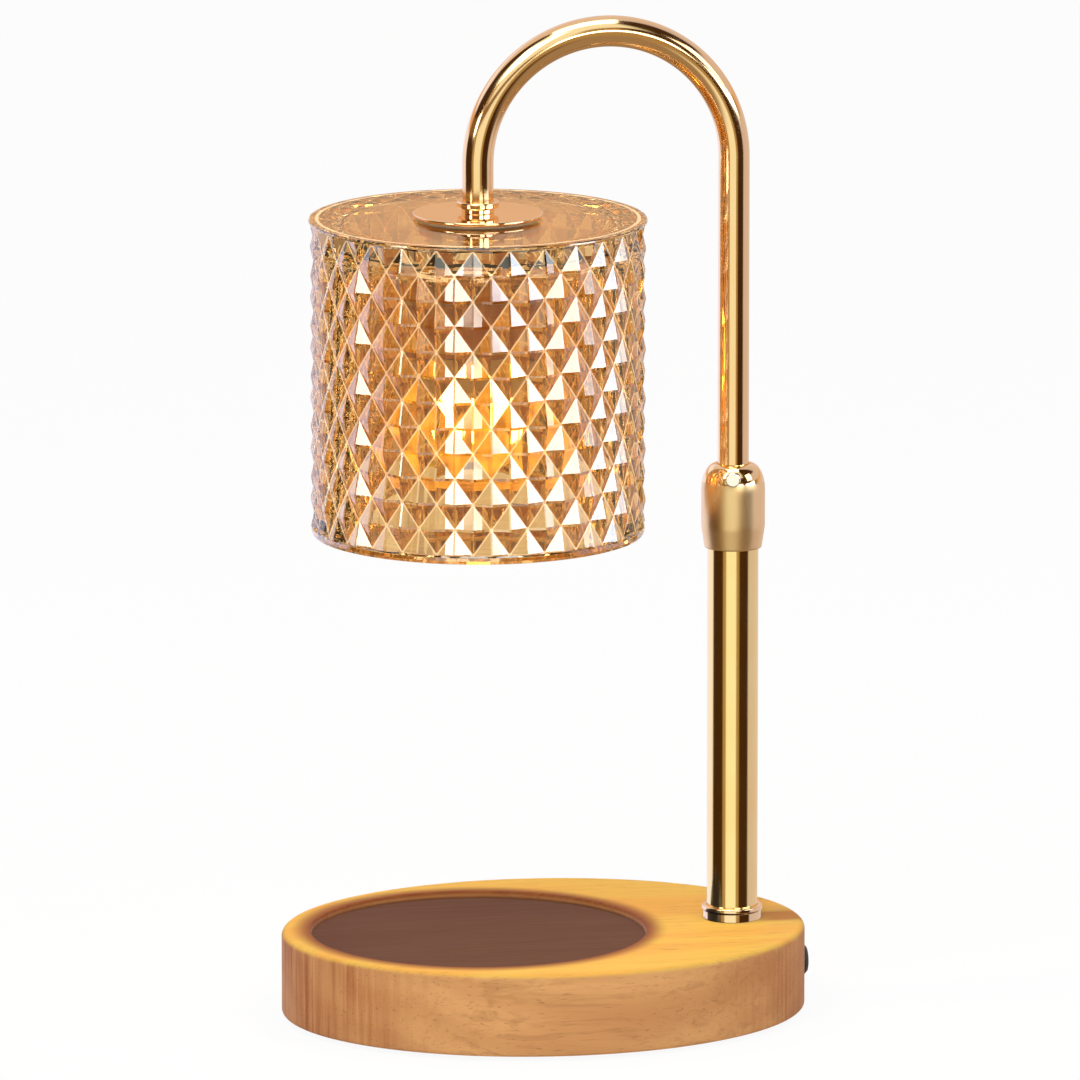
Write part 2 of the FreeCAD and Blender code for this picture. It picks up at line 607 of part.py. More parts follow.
def make_collar():
    """Domed collar that turns on the post, its nylon bush, snap ring and lock screw."""
    at = (POST_AXIS, "0", COLLAR_FOOT)
    inner = "post_outer / 2 + fit_gap"
    shelf = "%s - %s" % (POST_TOP, COLLAR_FOOT)
    groove = "(%s - snap_below_top)" % shelf
    body = turned("collar", [
        (inner, "0"), ("collar_foot / 2", "0"),
        ("collar_outer / 2", "collar_taper", "collar_taper * 4", 1),
        ("collar_outer / 2", "collar_length - dome_height"),
        ("collar_neck / 2", "collar_length", "dome_height", 1),
        ("arm_outer / 2 + hole_gap", "collar_length"),
        ("arm_outer / 2 + hole_gap", "%s + hole_gap / 2 + bush_height" % shelf),
        ("bush_outer / 2", "%s + hole_gap / 2 + bush_height" % shelf),
        ("bush_outer / 2", "%s + hole_gap" % shelf), (inner, "%s + hole_gap" % shelf),
        (inner, "%s + snap_wire / 2 + fit_gap" % groove),
        ("%s + snap_wire / 2" % inner, "%s + snap_wire / 2 + fit_gap" % groove),
        ("%s + snap_wire / 2" % inner, "%s - snap_wire / 2 - fit_gap" % groove),
        (inner, "%s - snap_wire / 2 - fit_gap" % groove)], at, turn="lock_turn")
    sketch = sketch_on(body, "YZ_Plane", "lock_reach")
    circle(sketch, "lock_head + 2 * fit_gap", "0", "collar_length - lock_drop")
    feature(body, "Pocket", sketch, Length="lock_head_height")
    sketch = sketch_on(body, "YZ_Plane", "lock_reach")
    circle(sketch, "lock_shank + 2 * fit_gap", "0", "collar_length - lock_drop")
    feature(body, "Pocket", sketch, Length="lock_reach")
    turned("collar_bush", [
        ("arm_outer / 2 + fit_gap", "0"), ("bush_outer / 2", "0"), ("bush_outer / 2", "bush_height"),
        ("arm_outer / 2 + fit_gap", "bush_height")], (POST_AXIS, "0", POST_TOP + " + hole_gap / 2"))
    body = new_body("snap_ring", (POST_AXIS, "0", "%s - snap_below_top" % POST_TOP))
    sketch = sketch_on(body, "XZ_Plane")
    circle(sketch, "snap_wire - 2 * fit_gap", "post_outer / 2 + fit_gap")
    feature(body, "Revolution", sketch, Angle="360 - snap_open_turn")
    body = new_body("lock_screw", (
        "%s + lock_reach * cos(lock_turn * 1deg)" % POST_AXIS, "lock_reach * sin(lock_turn * 1deg)",
        "%s - lock_drop" % COLLAR_TOP))
    body.Placement.Rotation = FreeCAD.Rotation(FreeCAD.Vector(0, 0, 1), size("lock_turn")).multiply(
        FreeCAD.Rotation(FreeCAD.Vector(0, 1, 0), 90))
    shank = "lock_reach - arm_outer / 2 - lock_tip_gap"
    sketch = outline(sketch_on(body, "XZ_Plane"), [
        ("0", "-(%s)" % shank), ("lock_shank / 2 - 0.5", "-(%s)" % shank),
        ("lock_shank / 2", "-(%s) + 0.5" % shank), ("lock_shank / 2", "-lock_head_height"),
        ("lock_head / 2", "-lock_head_height"), ("lock_head / 2", "-lock_head_height / 3"),
        ("0", "0", "lock_head * 1.6", 1)])
    feature(body, "Revolution", sketch)
    sketch = sketch_on(body, "XY_Plane")
    rectangle(sketch, "lock_head * 1.2", "lock_head / 7")
    feature(body, "Pocket", sketch, Length="lock_head_height / 4")


def make_arm():
    """Hooped tube from the post to the shade, with its guide bush and threaded insert."""
    low = "(%s - arm_insert)" % COLLAR_TOP
    spring = "(%s + arch_rise)" % SHADE_TOP
    body = new_body("arm_tube", (POST_AXIS, "0", low))
    path = outline(sketch_on(body, "XZ_Plane"), [
        ("0", "0"), ("0", "%s - %s" % (spring, low)),
        ("-%s" % POST_REACH, "%s - %s" % (spring, low), "half turn"),
        ("-%s" % POST_REACH, "%s - %s" % (ARM_END, low))], closed=False)
    for kind, diameter in (("AdditivePipe", "arm_outer"), ("SubtractivePipe", "arm_outer - 2 * arm_wall")):
        section = sketch_on(body, "XY_Plane")
        circle(section, diameter)
        pipe = body.newObject("PartDesign::" + kind, kind)
        pipe.Profile = section
        pipe.Spine = (path, ["Edge1", "Edge2", "Edge3"])
        doc.recompute()
    turned("guide_bush", [
        ("arm_outer / 2 - arm_wall", "-guide_lip"), ("post_outer / 2 - post_wall - fit_gap", "-guide_lip"),
        ("post_outer / 2 - post_wall - fit_gap", "guide_height"), ("arm_outer / 2", "guide_height"),
        ("arm_outer / 2", "0"), ("arm_outer / 2 - arm_wall", "0")], (POST_AXIS, "0", low))
    ring("tube_insert", "arm_outer - 2 * arm_wall", "stud_outer", "insert_length",
         (SHADE_AXIS, "0", ARM_END))
    ring("nipple", "stud_outer", "stud_bore", "%s + insert_length - 1 - %s" % (ARM_END, NIPPLE_FOOT),
         (SHADE_AXIS, "0", NIPPLE_FOOT))


NIPPLE_FOOT = "(%s - bracket_sheet - nut_height - 1)" % UNDER_FOOT


def make_shade_fixings():
    """Cap nut, disc and washers that clamp the glass, from the top down."""
    turned("cap_nut", [
        ("stud_outer / 2", "0"), ("cap_neck / 2", "0"), ("cap_neck / 2", "cap_neck_height"),
        ("cap_outer / 2 - 0.4", "cap_neck_height"), ("cap_outer / 2", "cap_neck_height + 0.4"),
        ("cap_outer / 2", "cap_height - 0.6"), ("cap_outer / 2 - 0.6", "cap_height"),
        ("arm_outer / 2 + fit_gap", "cap_height"), ("arm_outer / 2 + fit_gap", "cap_height - cap_seat"),
        ("stud_outer / 2", "cap_height - cap_seat")], (SHADE_AXIS, "0", CAP_FOOT))
    turned("top_disc", [
        ("stud_outer / 2 + hole_gap", "0"), ("disc_outer / 2 - 0.3", "0"), ("disc_outer / 2", "0.3"),
        ("disc_outer / 2", "disc_thickness - 0.4"), ("disc_outer / 2 - 0.4", "disc_thickness"),
        ("stud_outer / 2 + hole_gap", "disc_thickness")], (SHADE_AXIS, "0", DISC_FOOT))
    ring("top_gasket", "gasket_outer", "stud_outer + 2 * hole_gap", "gasket_thickness",
         (SHADE_AXIS, "0", SHADE_TOP))
    ring("inner_gasket", "under_outer", "stud_outer + 2 * hole_gap", "gasket_thickness",
         (SHADE_AXIS, "0", "%s - gasket_thickness" % GLASS_CEILING))
    ring("inner_washer", "under_outer", "stud_outer + 2 * hole_gap", "under_thickness",
         (SHADE_AXIS, "0", UNDER_FOOT))
    make_nut("lock_nut", (SHADE_AXIS, "0", "%s - bracket_sheet - nut_height" % UNDER_FOOT))


def diamond_band(foot, top, round_count, high_count, valley, point):
    """Closed solid whose side is a lattice of four-sided points between two flat ends.

    Node n of level k stands at the angle (n + k / 2) * 360 / round_count, and level k is
    k / 2 of a diamond above the foot. Each diamond has nodes left and right on its own level,
    one above and one below, and its point stands over its middle, further out.
    """
    step = 2 * math.pi / round_count
    rise = (top - foot) / (2 * high_count)

    def spot(radius, level, number):
        turn = (number + level / 2.0) * step
        return FreeCAD.Vector(radius * math.cos(turn), radius * math.sin(turn), foot + level * rise)

    faces = []
    last = 2 * high_count
    for level in range(0, last + 1):
        for number in range(round_count):
            left, right = spot(valley, level, number), spot(valley, level, number + 1)
            middle = spot(point, level, number + 0.5)
            if level < last:
                above = spot(valley, level + 1, number)
                faces += [(left, middle, above), (middle, right, above)]
            if level > 0:
                below = spot(valley, level - 1, number + 1)
                faces += [(middle, left, below), (right, middle, below)]
    for level in (0, last):
        ends = []
        for number in range(round_count):
            ends += [spot(valley, level, number), spot(point, level, number + 0.5)]
        faces.append(tuple(ends))
    made = [Part.Face(Part.makePolygon(list(corners) + [corners[0]])) for corners in faces]
    shell = Part.Shell(made)
    shell.sewShape()
    solid = Part.Solid(shell)
    if solid.Volume < 0:
        solid.reverse()
    return solid


def make_glass_shade():
    """Pressed glass: a band of diamonds between a plain rim and a plain lip, hollow from below."""
    height, rim = size("shade_height"), size("shade_rim / 2")
    lip_height, rim_height = size("shade_lip_height"), size("shade_rim_height")
    lip = size("shade_lip / 2")
    band = diamond_band(lip_height, height - rim_height / 2, int(size("diamonds_round")),
                        int(size("diamonds_high")), size("shade_valley / 2"), size("shade_point / 2"))
    plate = Part.makeCylinder(rim, rim_height, FreeCAD.Vector(0, 0, height - rim_height))
    plate = plate.makeFillet(rim_height * 0.45, [e for e in plate.Edges if len(e.Vertexes) == 1])
    foot = Part.makeCylinder(lip, lip_height + 0.4)
    foot = foot.makeFillet(lip_height * 0.4, [e for e in foot.Edges if len(e.Vertexes) == 1])
    bore = size("shade_valley / 2 - shade_wall")
    hollow = Part.makeCylinder(bore, height - size("shade_ceiling") + 1, FreeCAD.Vector(0, 0, -1))
    ceiling = height - size("shade_ceiling")
    hollow = hollow.makeFillet(size("shade_corner"),
                               [e for e in hollow.Edges if e.BoundBox.ZMin > ceiling - 1e-3])
    hole = Part.makeCylinder(size("stud_outer / 2 + hole_gap"), height * 2)
    shape = band.fuse([plate, foot]).cut(hollow).cut(hole)
    made = doc.addObject("Part::Feature", "glass_shade_form")
    made.Label = "glass_shade"
    made.Shape = shape
    made.Placement.Base = FreeCAD.Vector(size(SHADE_AXIS), 0, size(SHADE_FOOT))
    PARTS.append(made)


def make_lamp_holder():
    """Bracket, ceramic holder with its two curved slots, and the two screws between them."""
    body = new_body("holder_bracket", (SHADE_AXIS, "0", BRACKET_FOOT))
    sketch = sketch_on(body, "XZ_Plane", "-bracket_depth / 2")
    rectangle(sketch, "bracket_width", "bracket_height", "0", "bracket_height / 2")
    rectangle(sketch, "bracket_width - 2 * bracket_sheet", "bracket_height - 2 * bracket_sheet",
              "0", "bracket_height / 2")
    feature(body, "Pad", sketch, Length="bracket_depth")
    sketch = sketch_on(body, "XY_Plane", "bracket_height")
    circle(sketch, "stud_outer + 2 * hole_gap")
    feature(body, "Pocket", sketch, Length="bracket_height")
    sketch = sketch_on(body, "XY_Plane")
    for way in ("", "-"):
        circle(sketch, "screw_diameter + 2 * pilot_clearance", way + "holder_screws_apart / 2")
    feature(body, "Pocket", sketch, Length="2 * bracket_sheet", Reversed=True)

    body = new_body("lamp_holder", (SHADE_AXIS, "0", HOLDER_FOOT))
    sketch = sketch_on(body, "XY_Plane")
    rectangle(sketch, "holder_width", "holder_depth")
    feature(body, "Pad", sketch, Length="holder_height")
    half_wide, half_deep = size("holder_width / 2"), size("holder_depth / 2")
    rounded(body, "holder_depth / 5", lambda p: abs(abs(p.x) - half_wide) < 1e-6
            and abs(abs(p.y) - half_deep) < 1e-6)
    for way in ("", "-"):
        make_holder_slot(body, way)
    sketch = sketch_on(body, "XY_Plane", "holder_height")
    for way in ("", "-"):
        circle(sketch, "screw_diameter + 2 * pilot_clearance", way + "holder_screws_apart / 2")
    feature(body, "Pocket", sketch, Length="holder_screw_length")
    height = size("%s + bracket_sheet" % BRACKET_FOOT)
    upside = screw("holder_screw_length").rotated(FreeCAD.Vector(), FreeCAD.Vector(1, 0, 0), 180)
    across = size("holder_screws_apart / 2")
    group("holder_screws", upside, [FreeCAD.Vector(size(SHADE_AXIS) + way * across, 0, height)
                                    for way in (-1, 1)])


def make_holder_slot(body, way):
    """One curved slot for a pin: two round ends joined by an arc, on the given side."""
    sign = -1 if way else 1
    track, half = size("pins_apart / 2"), size("pin_head / 2 + slot_gap")
    sketch = sketch_on(body, "XY_Plane")
    turns = [0.0, math.radians(size("twist_turn") / 2), math.radians(size("twist_turn"))]

    def at(radius, turn):
        return FreeCAD.Vector(sign * radius * math.cos(turn), sign * radius * math.sin(turn), 0)

    def end(turn, ahead):
        middle = at(track, turn)
        out = FreeCAD.Vector(-math.sin(turn), math.cos(turn), 0) * (sign * ahead * half)
        return Part.Arc(at(track + half, turn), middle + out, at(track - half, turn))

    pieces = [
        Part.Arc(at(track + half, turns[0]), at(track + half, turns[1]), at(track + half, turns[2])),
        end(turns[2], 1),
        Part.Arc(at(track - half, turns[2]), at(track - half, turns[1]), at(track - half, turns[0])),
        end(turns[0], -1),
    ]
    for piece in pieces:
        sketch.addGeometry(piece, False)
    for number in range(4):
        sketch.addConstraint(Sketcher.Constraint("Block", number))
    feature(body, "Pocket", sketch, Length="pin_length + slot_gap", Reversed=True)


def make_bulb():
    """Reflector bulb: base with two headed pins, reflector, lens and capsule."""
    mouth = "(%s - bulb_length)" % BULB_TOP
    neck = "(bulb_length - bulb_base_height)"
    at = (SHADE_AXIS, "0", mouth)
    turned("bulb_base", [
        ("0", neck), ("bulb_base_outer / 2 - 2", neck), ("bulb_base_outer / 2", "%s + 2" % neck),
        ("bulb_base_outer / 2", "bulb_length - 1"), ("bulb_base_outer / 2 - 1", "bulb_length"),
        ("0", "bulb_length")], at)
    turned("bulb_reflector", [
        ("bulb_outer / 2 - bulb_wall", "0"), ("bulb_outer / 2", "0"),
        ("bulb_outer / 2", "bulb_rim_height"),
        ("bulb_base_outer / 2 - 2", neck, "bulb_outer * 0.8", 1),
        ("bulb_base_outer / 2 - 2 - bulb_wall", neck),
        ("bulb_outer / 2 - bulb_wall", "bulb_rim_height", "bulb_outer * 0.8 - bulb_wall", -1)], at)
    turned("bulb_lens", [
        ("0", "0.4"), ("bulb_outer / 2 - bulb_wall - lens_gap", "0"),
        ("bulb_outer / 2 - bulb_wall - lens_gap", "lens_thickness"), ("0", "lens_thickness")], at)
    turned("bulb_capsule", [
        ("0", "%s - capsule_length" % neck),
        ("capsule_outer / 2", "%s - capsule_length + capsule_outer / 2" % neck,
         "capsule_outer / 2", 1),
        ("capsule_outer / 2", "%s - 3" % neck), ("capsule_outer / 2 - 1", neck), ("0", neck)], at)
    neck_part = Part.makeCylinder(size("pin_neck / 2"), size("pin_length - pin_head_height"))
    head = Part.makeCylinder(size("pin_head / 2"), size("pin_head_height"),
                             FreeCAD.Vector(0, 0, size("pin_length - pin_head_height")))
    across = size("pins_apart / 2")
    group("bulb_pins", neck_part.fuse(head).removeSplitter(),
          [FreeCAD.Vector(size(SHADE_AXIS) + way * across, 0, size(BULB_TOP)) for way in (-1, 1)])


make_wood_base()
make_bottom_cover()
make_cover_screws()
make_rubber_feet()
make_ballast()
make_gland()
make_terminal_block()
make_post()
make_collar()
make_arm()
make_shade_fixings()
make_glass_shade()
make_lamp_holder()
make_bulb()

doc.recompute()
failed = ["%s in %s: %s" % (item.Name, ", ".join(user.Label for user in item.InList), item.getStatusString())
          for item in doc.Objects if "Invalid" in item.State or "Error" in item.State]
if failed:
    raise RuntimeError("failed: " + "; ".join(failed))
for piece in PARTS:
    if piece.Shape.isNull() or not piece.Shape.isValid() or not piece.Shape.Solids:
        raise RuntimeError("%s has no valid solid" % piece.Label)
os.makedirs("parts", exist_ok=True)
for piece in PARTS:
    piece.Shape.exportStep("parts/%s.step" % piece.Label)
    box = piece.Shape.BoundBox
    print("%-16s %2d solid(s) %10.1f mm3  x %.1f..%.1f y %.1f..%.1f z %.1f..%.1f" % (
        piece.Label, len(piece.Shape.Solids), piece.Shape.Volume, box.XMin, box.XMax,
        box.YMin, box.YMax, box.ZMin, box.ZMax))
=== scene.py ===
import logging
import math
from dataclasses import dataclass
from enum import Enum

import bmesh
import bpy
import numpy as np
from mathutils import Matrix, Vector

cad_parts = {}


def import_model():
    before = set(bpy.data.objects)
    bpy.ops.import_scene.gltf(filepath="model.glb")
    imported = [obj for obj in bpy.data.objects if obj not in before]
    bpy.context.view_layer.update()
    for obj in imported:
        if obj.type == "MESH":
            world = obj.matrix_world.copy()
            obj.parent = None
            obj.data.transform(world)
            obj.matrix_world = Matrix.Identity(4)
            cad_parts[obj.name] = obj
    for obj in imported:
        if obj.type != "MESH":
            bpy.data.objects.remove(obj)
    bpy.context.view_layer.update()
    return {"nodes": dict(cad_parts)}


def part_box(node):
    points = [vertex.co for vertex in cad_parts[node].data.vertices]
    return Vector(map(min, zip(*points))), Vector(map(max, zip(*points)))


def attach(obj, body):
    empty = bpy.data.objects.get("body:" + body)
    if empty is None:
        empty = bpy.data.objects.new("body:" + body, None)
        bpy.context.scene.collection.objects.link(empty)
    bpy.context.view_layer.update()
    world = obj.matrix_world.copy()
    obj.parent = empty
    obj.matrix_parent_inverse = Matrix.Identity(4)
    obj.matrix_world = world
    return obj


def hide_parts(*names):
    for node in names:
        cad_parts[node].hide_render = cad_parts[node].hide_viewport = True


# Looks of a height-adjustable warmer lamp: an oval wooden base, a brass-coloured post in two
# parts, a hooped arm and a pressed diamond-point glass shade. Sizes are in millimetres and
# become metres when a mesh is made. The post stands at +X and the front is at -Y.

MM = 0.001
TAU = 2.0 * math.pi

log = logging.getLogger("warmer_lamp")

Pair = tuple[float, float]
Triple = tuple[float, float, float]
Colour = Triple
Array = np.ndarray
Socket = bpy.types.NodeSocket
Object = bpy.types.Object


# Mesh making


def circle_of(columns: int) -> Array:
    """Unit circle, anticlockwise, as cosines and sines.

    Args:
        columns: number of points, evenly spaced from the +X direction.

    Returns:
        Array (columns, 2).
    """
    turn = np.arange(columns) * (TAU / columns)
    return np.stack([np.cos(turn), np.sin(turn)], axis=1)


def rounded_profile(corners: list[tuple[float, ...]], steps: int = 6, hold: float = 0.2) -> Array:
    """Closed outline whose corners are arcs tangent to both neighbouring sides.

    The arc at a corner with radius r starts r / tan(half the corner's angle) before the corner
    and is sampled at even turns. A holding point stands a little outside each end of the arc, so
    that smooth shading keeps the flat sides flat.

    Args:
        corners: (across, up) or (across, up, radius), in order round the outline.
        steps: segments of each arc.
        hold: distance of the holding points from the arc, millimetres.

    Returns:
        Array (points, 2), the outline without its first point repeated.
    """
    places = [np.array(corner[:2], float) for corner in corners]
    pieces = []
    for index, corner in enumerate(corners):
        here = places[index]
        radius = corner[2] if len(corner) > 2 else 0.0
        back = places[index - 1] - here
        ahead = places[(index + 1) % len(corners)] - here
        room = 0.49 * min(np.linalg.norm(back), np.linalg.norm(ahead))
        back, ahead = back / np.linalg.norm(back), ahead / np.linalg.norm(ahead)
        half = math.acos(float(np.clip(back @ ahead, -1.0, 1.0))) / 2.0
        if radius <= 0.0 or half > 1.55:
            pieces.append(here[None, :])
            continue
        reach = min(radius / math.tan(half), room)
        radius = reach * math.tan(half)
        middle = here + (back + ahead) / np.linalg.norm(back + ahead) * (radius / math.sin(half))
        start, end = here + back * reach - middle, here + ahead * reach - middle
        sweep = math.atan2(start[0] * end[1] - start[1] * end[0], float(start @ end))
        turn = np.linspace(0.0, sweep, steps + 1)[:, None]
        side = np.array([-start[1], start[0]])
        arc = middle + np.cos(turn) * start + np.sin(turn) * side
        grip = min(hold, room * 0.5)
        pieces.append(np.vstack([here + back * (reach + grip), arc, here + ahead * (reach + grip)]))
    return np.vstack(pieces)


def grid_faces(rows: int, columns: int, loop_rows: bool, loop_columns: bool) -> Array:
    """Quads of a grid of points, numbered row by row.

    Args:
        rows: rows of points.
        columns: points in a row.
        loop_rows: whether the last row joins the first.
        loop_columns: whether a row's last point joins its first.

    Returns:
        Array (quads, 4) of point numbers.
    """
    row = np.arange(rows if loop_rows else rows - 1)[:, None]
    column = np.arange(columns if loop_columns else columns - 1)[None, :]
    next_row, next_column = (row + 1) % rows, (column + 1) % columns
    corners = (row * columns + column, row * columns + next_column,
               next_row * columns + next_column, next_row * columns + column)
    return np.stack([corner.ravel() for corner in corners], axis=1)


def hoops(radii: Array, heights: Array, ring: Array, axis: Pair = (0.0, 0.0)) -> Array:
    """Rings of points (r cos t, r sin t, z) about an upright axis.

    Args:
        radii: one radius to a ring, (rings,), or one to a point, (rings, columns).
        heights: one height to a ring.
        ring: cosines and sines of the columns.
        axis: where the axis stands, (x, y).

    Returns:
        Array (rings, columns, 3).
    """
    points = np.empty((len(heights), len(ring), 3))
    points[..., :2] = radii.reshape(len(heights), -1, 1) * ring[None, :, :] + np.array(axis)
    points[..., 2] = heights[:, None]
    return points


def mesh_piece(name: str, points: Array, faces: Array | list, smooth: float | None = 35.0,
               merge: float = 0.002) -> Object:
    """Puts points and faces into a closed mesh object in the row frame.

    Args:
        name: piece's name.
        points: array (points, 3), millimetres.
        faces: lists of point numbers.
        smooth: edges sharper than this many degrees stay sharp; None leaves every face flat.
        merge: points nearer than this many millimetres become one, which closes seams and poles.

    Returns:
        The object, at the origin, with its normals outwards.
    """
    mesh = bpy.data.meshes.new(name)
    lists = faces.tolist() if isinstance(faces, Array) else faces
    mesh.from_pydata((points * MM).tolist(), [], lists)
    work = bmesh.new()
    work.from_mesh(mesh)
    bmesh.ops.remove_doubles(work, verts=work.verts, dist=merge * MM)
    bmesh.ops.recalc_face_normals(work, faces=work.faces)
    work.to_mesh(mesh)
    work.free()
    mesh.polygons.foreach_set("use_smooth", np.full(len(mesh.polygons), smooth is not None))
    if smooth is not None:
        mesh.set_sharp_from_angle(angle=math.radians(smooth))
    piece = bpy.data.objects.new(name, mesh)
    bpy.context.scene.collection.objects.link(piece)
    return piece


def turned_piece(name: str, profile: Array, axis: Pair, columns: int = 96,
                 smooth: float | None = 35.0) -> Object:
    """Solid of revolution: each profile point (r, z) runs round a vertical axis as a ring.

    Args:
        name: piece's name.
        profile: closed outline (points, 2) of radius and height.
        axis: where the axis stands, (x, y).
        columns: points round each ring.
        smooth: as for mesh_piece.

    Returns:
        The closed object.
    """
    points = hoops(profile[:, 0], profile[:, 1], circle_of(columns), axis)
    faces = grid_faces(len(profile), columns, True, True)
    return mesh_piece(name, points.reshape(-1, 3), faces, smooth)


def tube_along(name: str, path: Array, outer: float, inner: float, edge: float,
               columns: int = 64) -> Object:
    """Hollow tube along a path in the XZ plane, with softened ends.

    A ring of radius r stands at each path point in the plane of the path's normal and the Y
    axis: p + r (cos t n + sin t y). The outer rings run along the path and the inner ones back.

    Args:
        name: piece's name.
        path: array (points, 3).
        outer: outer radius.
        inner: inner radius.
        edge: rounding of the outer edge at both ends.
        columns: points round each ring.

    Returns:
        The closed object.
    """
    along = np.gradient(path, axis=0)
    along /= np.linalg.norm(along, axis=1)[:, None]
    normal = np.stack([along[:, 2], np.zeros(len(path)), -along[:, 0]], axis=1)
    ring = circle_of(columns)

    def rings(places: Array, normals: Array, radii: Array) -> Array:
        """Rings (places, columns, 3) of the given radii."""
        spin = ring[None, :, :1] * normals[:, None, :]
        spin = spin + ring[None, :, 1:] * np.array([0.0, 1.0, 0.0])
        return places[:, None, :] + radii[:, None, None] * spin

    turn = np.linspace(0.0, math.pi / 2, 5)
    drop = outer - edge * (1.0 - np.sin(turn))
    lift = edge * (1.0 - np.cos(turn))
    first = rings(path[:1] + along[:1] * lift[:, None], normal[:1].repeat(5, 0), drop)
    last = rings(path[-1:] - along[-1:] * lift[::-1, None], normal[-1:].repeat(5, 0), drop[::-1])
    body = rings(path[1:-1], normal[1:-1], np.full(len(path) - 2, outer))
    back = rings(path[::-1], normal[::-1], np.full(len(path), inner))
    points = np.concatenate([first, body, last, back])
    return mesh_piece(name, points.reshape(-1, 3), grid_faces(len(points), columns, True, True))


# Finishes


class NodeBench:
    """Adds, sets and links the nodes of one node tree."""

    def __init__(self, owner: bpy.types.Material | bpy.types.World) -> None:
        """Empties the owner's node tree."""
        owner.use_nodes = True
        self.tree = owner.node_tree
        self.tree.nodes.clear()

    def add(self, kind: str, values: dict | None = None, **settings: object) -> bpy.types.Node:
        """Adds a node.

        Args:
            kind: node type.
            values: socket name or number -> number, colour, or an output socket to link.
            settings: properties of the node.

        Returns:
            The node.
        """
        node = self.tree.nodes.new(kind)
        for key, value in settings.items():
            setattr(node, key, value)
        self.fill(node, values or {})
        return node

    def fill(self, node: bpy.types.Node, values: dict) -> None:
        """Sets or links a node's sockets.

        Args:
            node: the node.
            values: socket name or number -> number, colour, or an output socket to link.
        """
        for key, value in values.items():
            socket = node.inputs[key]
            if isinstance(value, Socket):
                self.tree.links.new(value, socket)
            elif isinstance(value, tuple) and socket.type == "RGBA" and len(value) == 3:
                socket.default_value = (*value, 1.0)
            else:
                socket.default_value = value

    def noise(self, place: Socket, scale: float, detail: float, rough: float = 0.5,
              distortion: float = 0.0) -> Socket:
        """Noise value at a place."""
        values = {"Vector": place, "Scale": scale, "Detail": detail, "Roughness": rough, "Distortion": distortion}
        return self.add("ShaderNodeTexNoise", values).outputs["Fac"]

    def span(self, value: Socket, low: float, high: float, to_low: float = 0.0,
             to_high: float = 1.0, smooth: bool = False) -> Socket:
        """The value carried from one range to another, held inside it."""
        values = {"Value": value, "From Min": low, "From Max": high, "To Min": to_low, "To Max": to_high}
        kind = "SMOOTHSTEP" if smooth else "LINEAR"
        return self.add("ShaderNodeMapRange", values, interpolation_type=kind).outputs["Result"]

    def ease(self, value: Socket, low: float, high: float, to_low: float = 0.0,
             to_high: float = 1.0) -> Socket:
        """Like span, with a soft start and end."""
        return self.span(value, low, high, to_low, to_high, True)

    def math(self, what: str, first: object, second: object = 0.0) -> Socket:
        """One step of arithmetic between sockets or numbers."""
        return self.add("ShaderNodeMath", {0: first, 1: second}, operation=what).outputs[0]

    def times(self, first: object, second: object) -> Socket:
        """Product of two sockets or numbers."""
        return self.math("MULTIPLY", first, second)

    def plus(self, first: object, second: object) -> Socket:
        """Sum of two sockets or numbers."""
        return self.math("ADD", first, second)

    def reach(self, first: object, second: object) -> Socket:
        """Square root of the sum of two squares."""
        return self.math("SQRT", self.plus(self.times(first, first), self.times(second, second)))

    def parts(self, vector: Socket) -> bpy.types.bpy_prop_collection:
        """The x, y and z of a vector."""
        return self.add("ShaderNodeSeparateXYZ", {0: vector}).outputs

    def mix(self, factor: object, first: object, second: object) -> Socket:
        """Mixes two colours by a factor."""
        return self.add("ShaderNodeMix", {0: factor, 6: first, 7: second}, data_type="RGBA").outputs[2]

    def ramp(self, value: Socket, stops: list[tuple[float, Colour]]) -> Socket:
        """Colour ramp through the given stops."""
        node = self.add("ShaderNodeValToRGB", {"Fac": value})
        while len(node.color_ramp.elements) < len(stops):
            node.color_ramp.elements.new(1.0)
        for element, (place, colour) in zip(node.color_ramp.elements, stops):
            element.position, element.color = place, (*colour, 1.0)
        return node.outputs["Color"]


class Recipe(NodeBench):
    """Builds the nodes of one material round a Principled shader."""

    def __init__(self, name: str) -> None:
        """Starts an empty material with the shader on its output."""
        self.material = bpy.data.materials.new(name)
        super().__init__(self.material)
        self.shader = self.add("ShaderNodeBsdfPrincipled")
        self.output = self.add("ShaderNodeOutputMaterial", {"Surface": self.shader.outputs[0]})

    def place(self, scale: Triple = (1.0, 1.0, 1.0), shift: Triple = (0.0, 0.0, 0.0)) -> Socket:
        """Object coordinates, scaled and shifted by a Mapping node."""
        coordinates = self.add("ShaderNodeTexCoord").outputs["Object"]
        mapping = self.add("ShaderNodeMapping", {"Vector": coordinates, "Scale": scale, "Location": shift})
        return mapping.outputs[0]

    def flecks(self, stretch: Triple, detail: float, rough: float = 0.5, distortion: float = 0.0) -> Socket:
        """Noise drawn out by three factors along X, Y and Z."""
        return self.noise(self.place(stretch), 1.0, detail, rough, distortion)

    def bump(self, height: Socket, distance: float, strength: float) -> Socket:
        """Normal of a height field, distance in metres."""
        values = {"Height": height, "Distance": distance, "Strength": strength}
        return self.add("ShaderNodeBump", values).outputs["Normal"]

    def finish(self, **sockets: object) -> bpy.types.Material:
        """Sets sockets of the shader, written with underscores for spaces, and returns the material."""
        self.fill(self.shader, {key.replace("_", " "): value for key, value in sockets.items()})
        return self.material


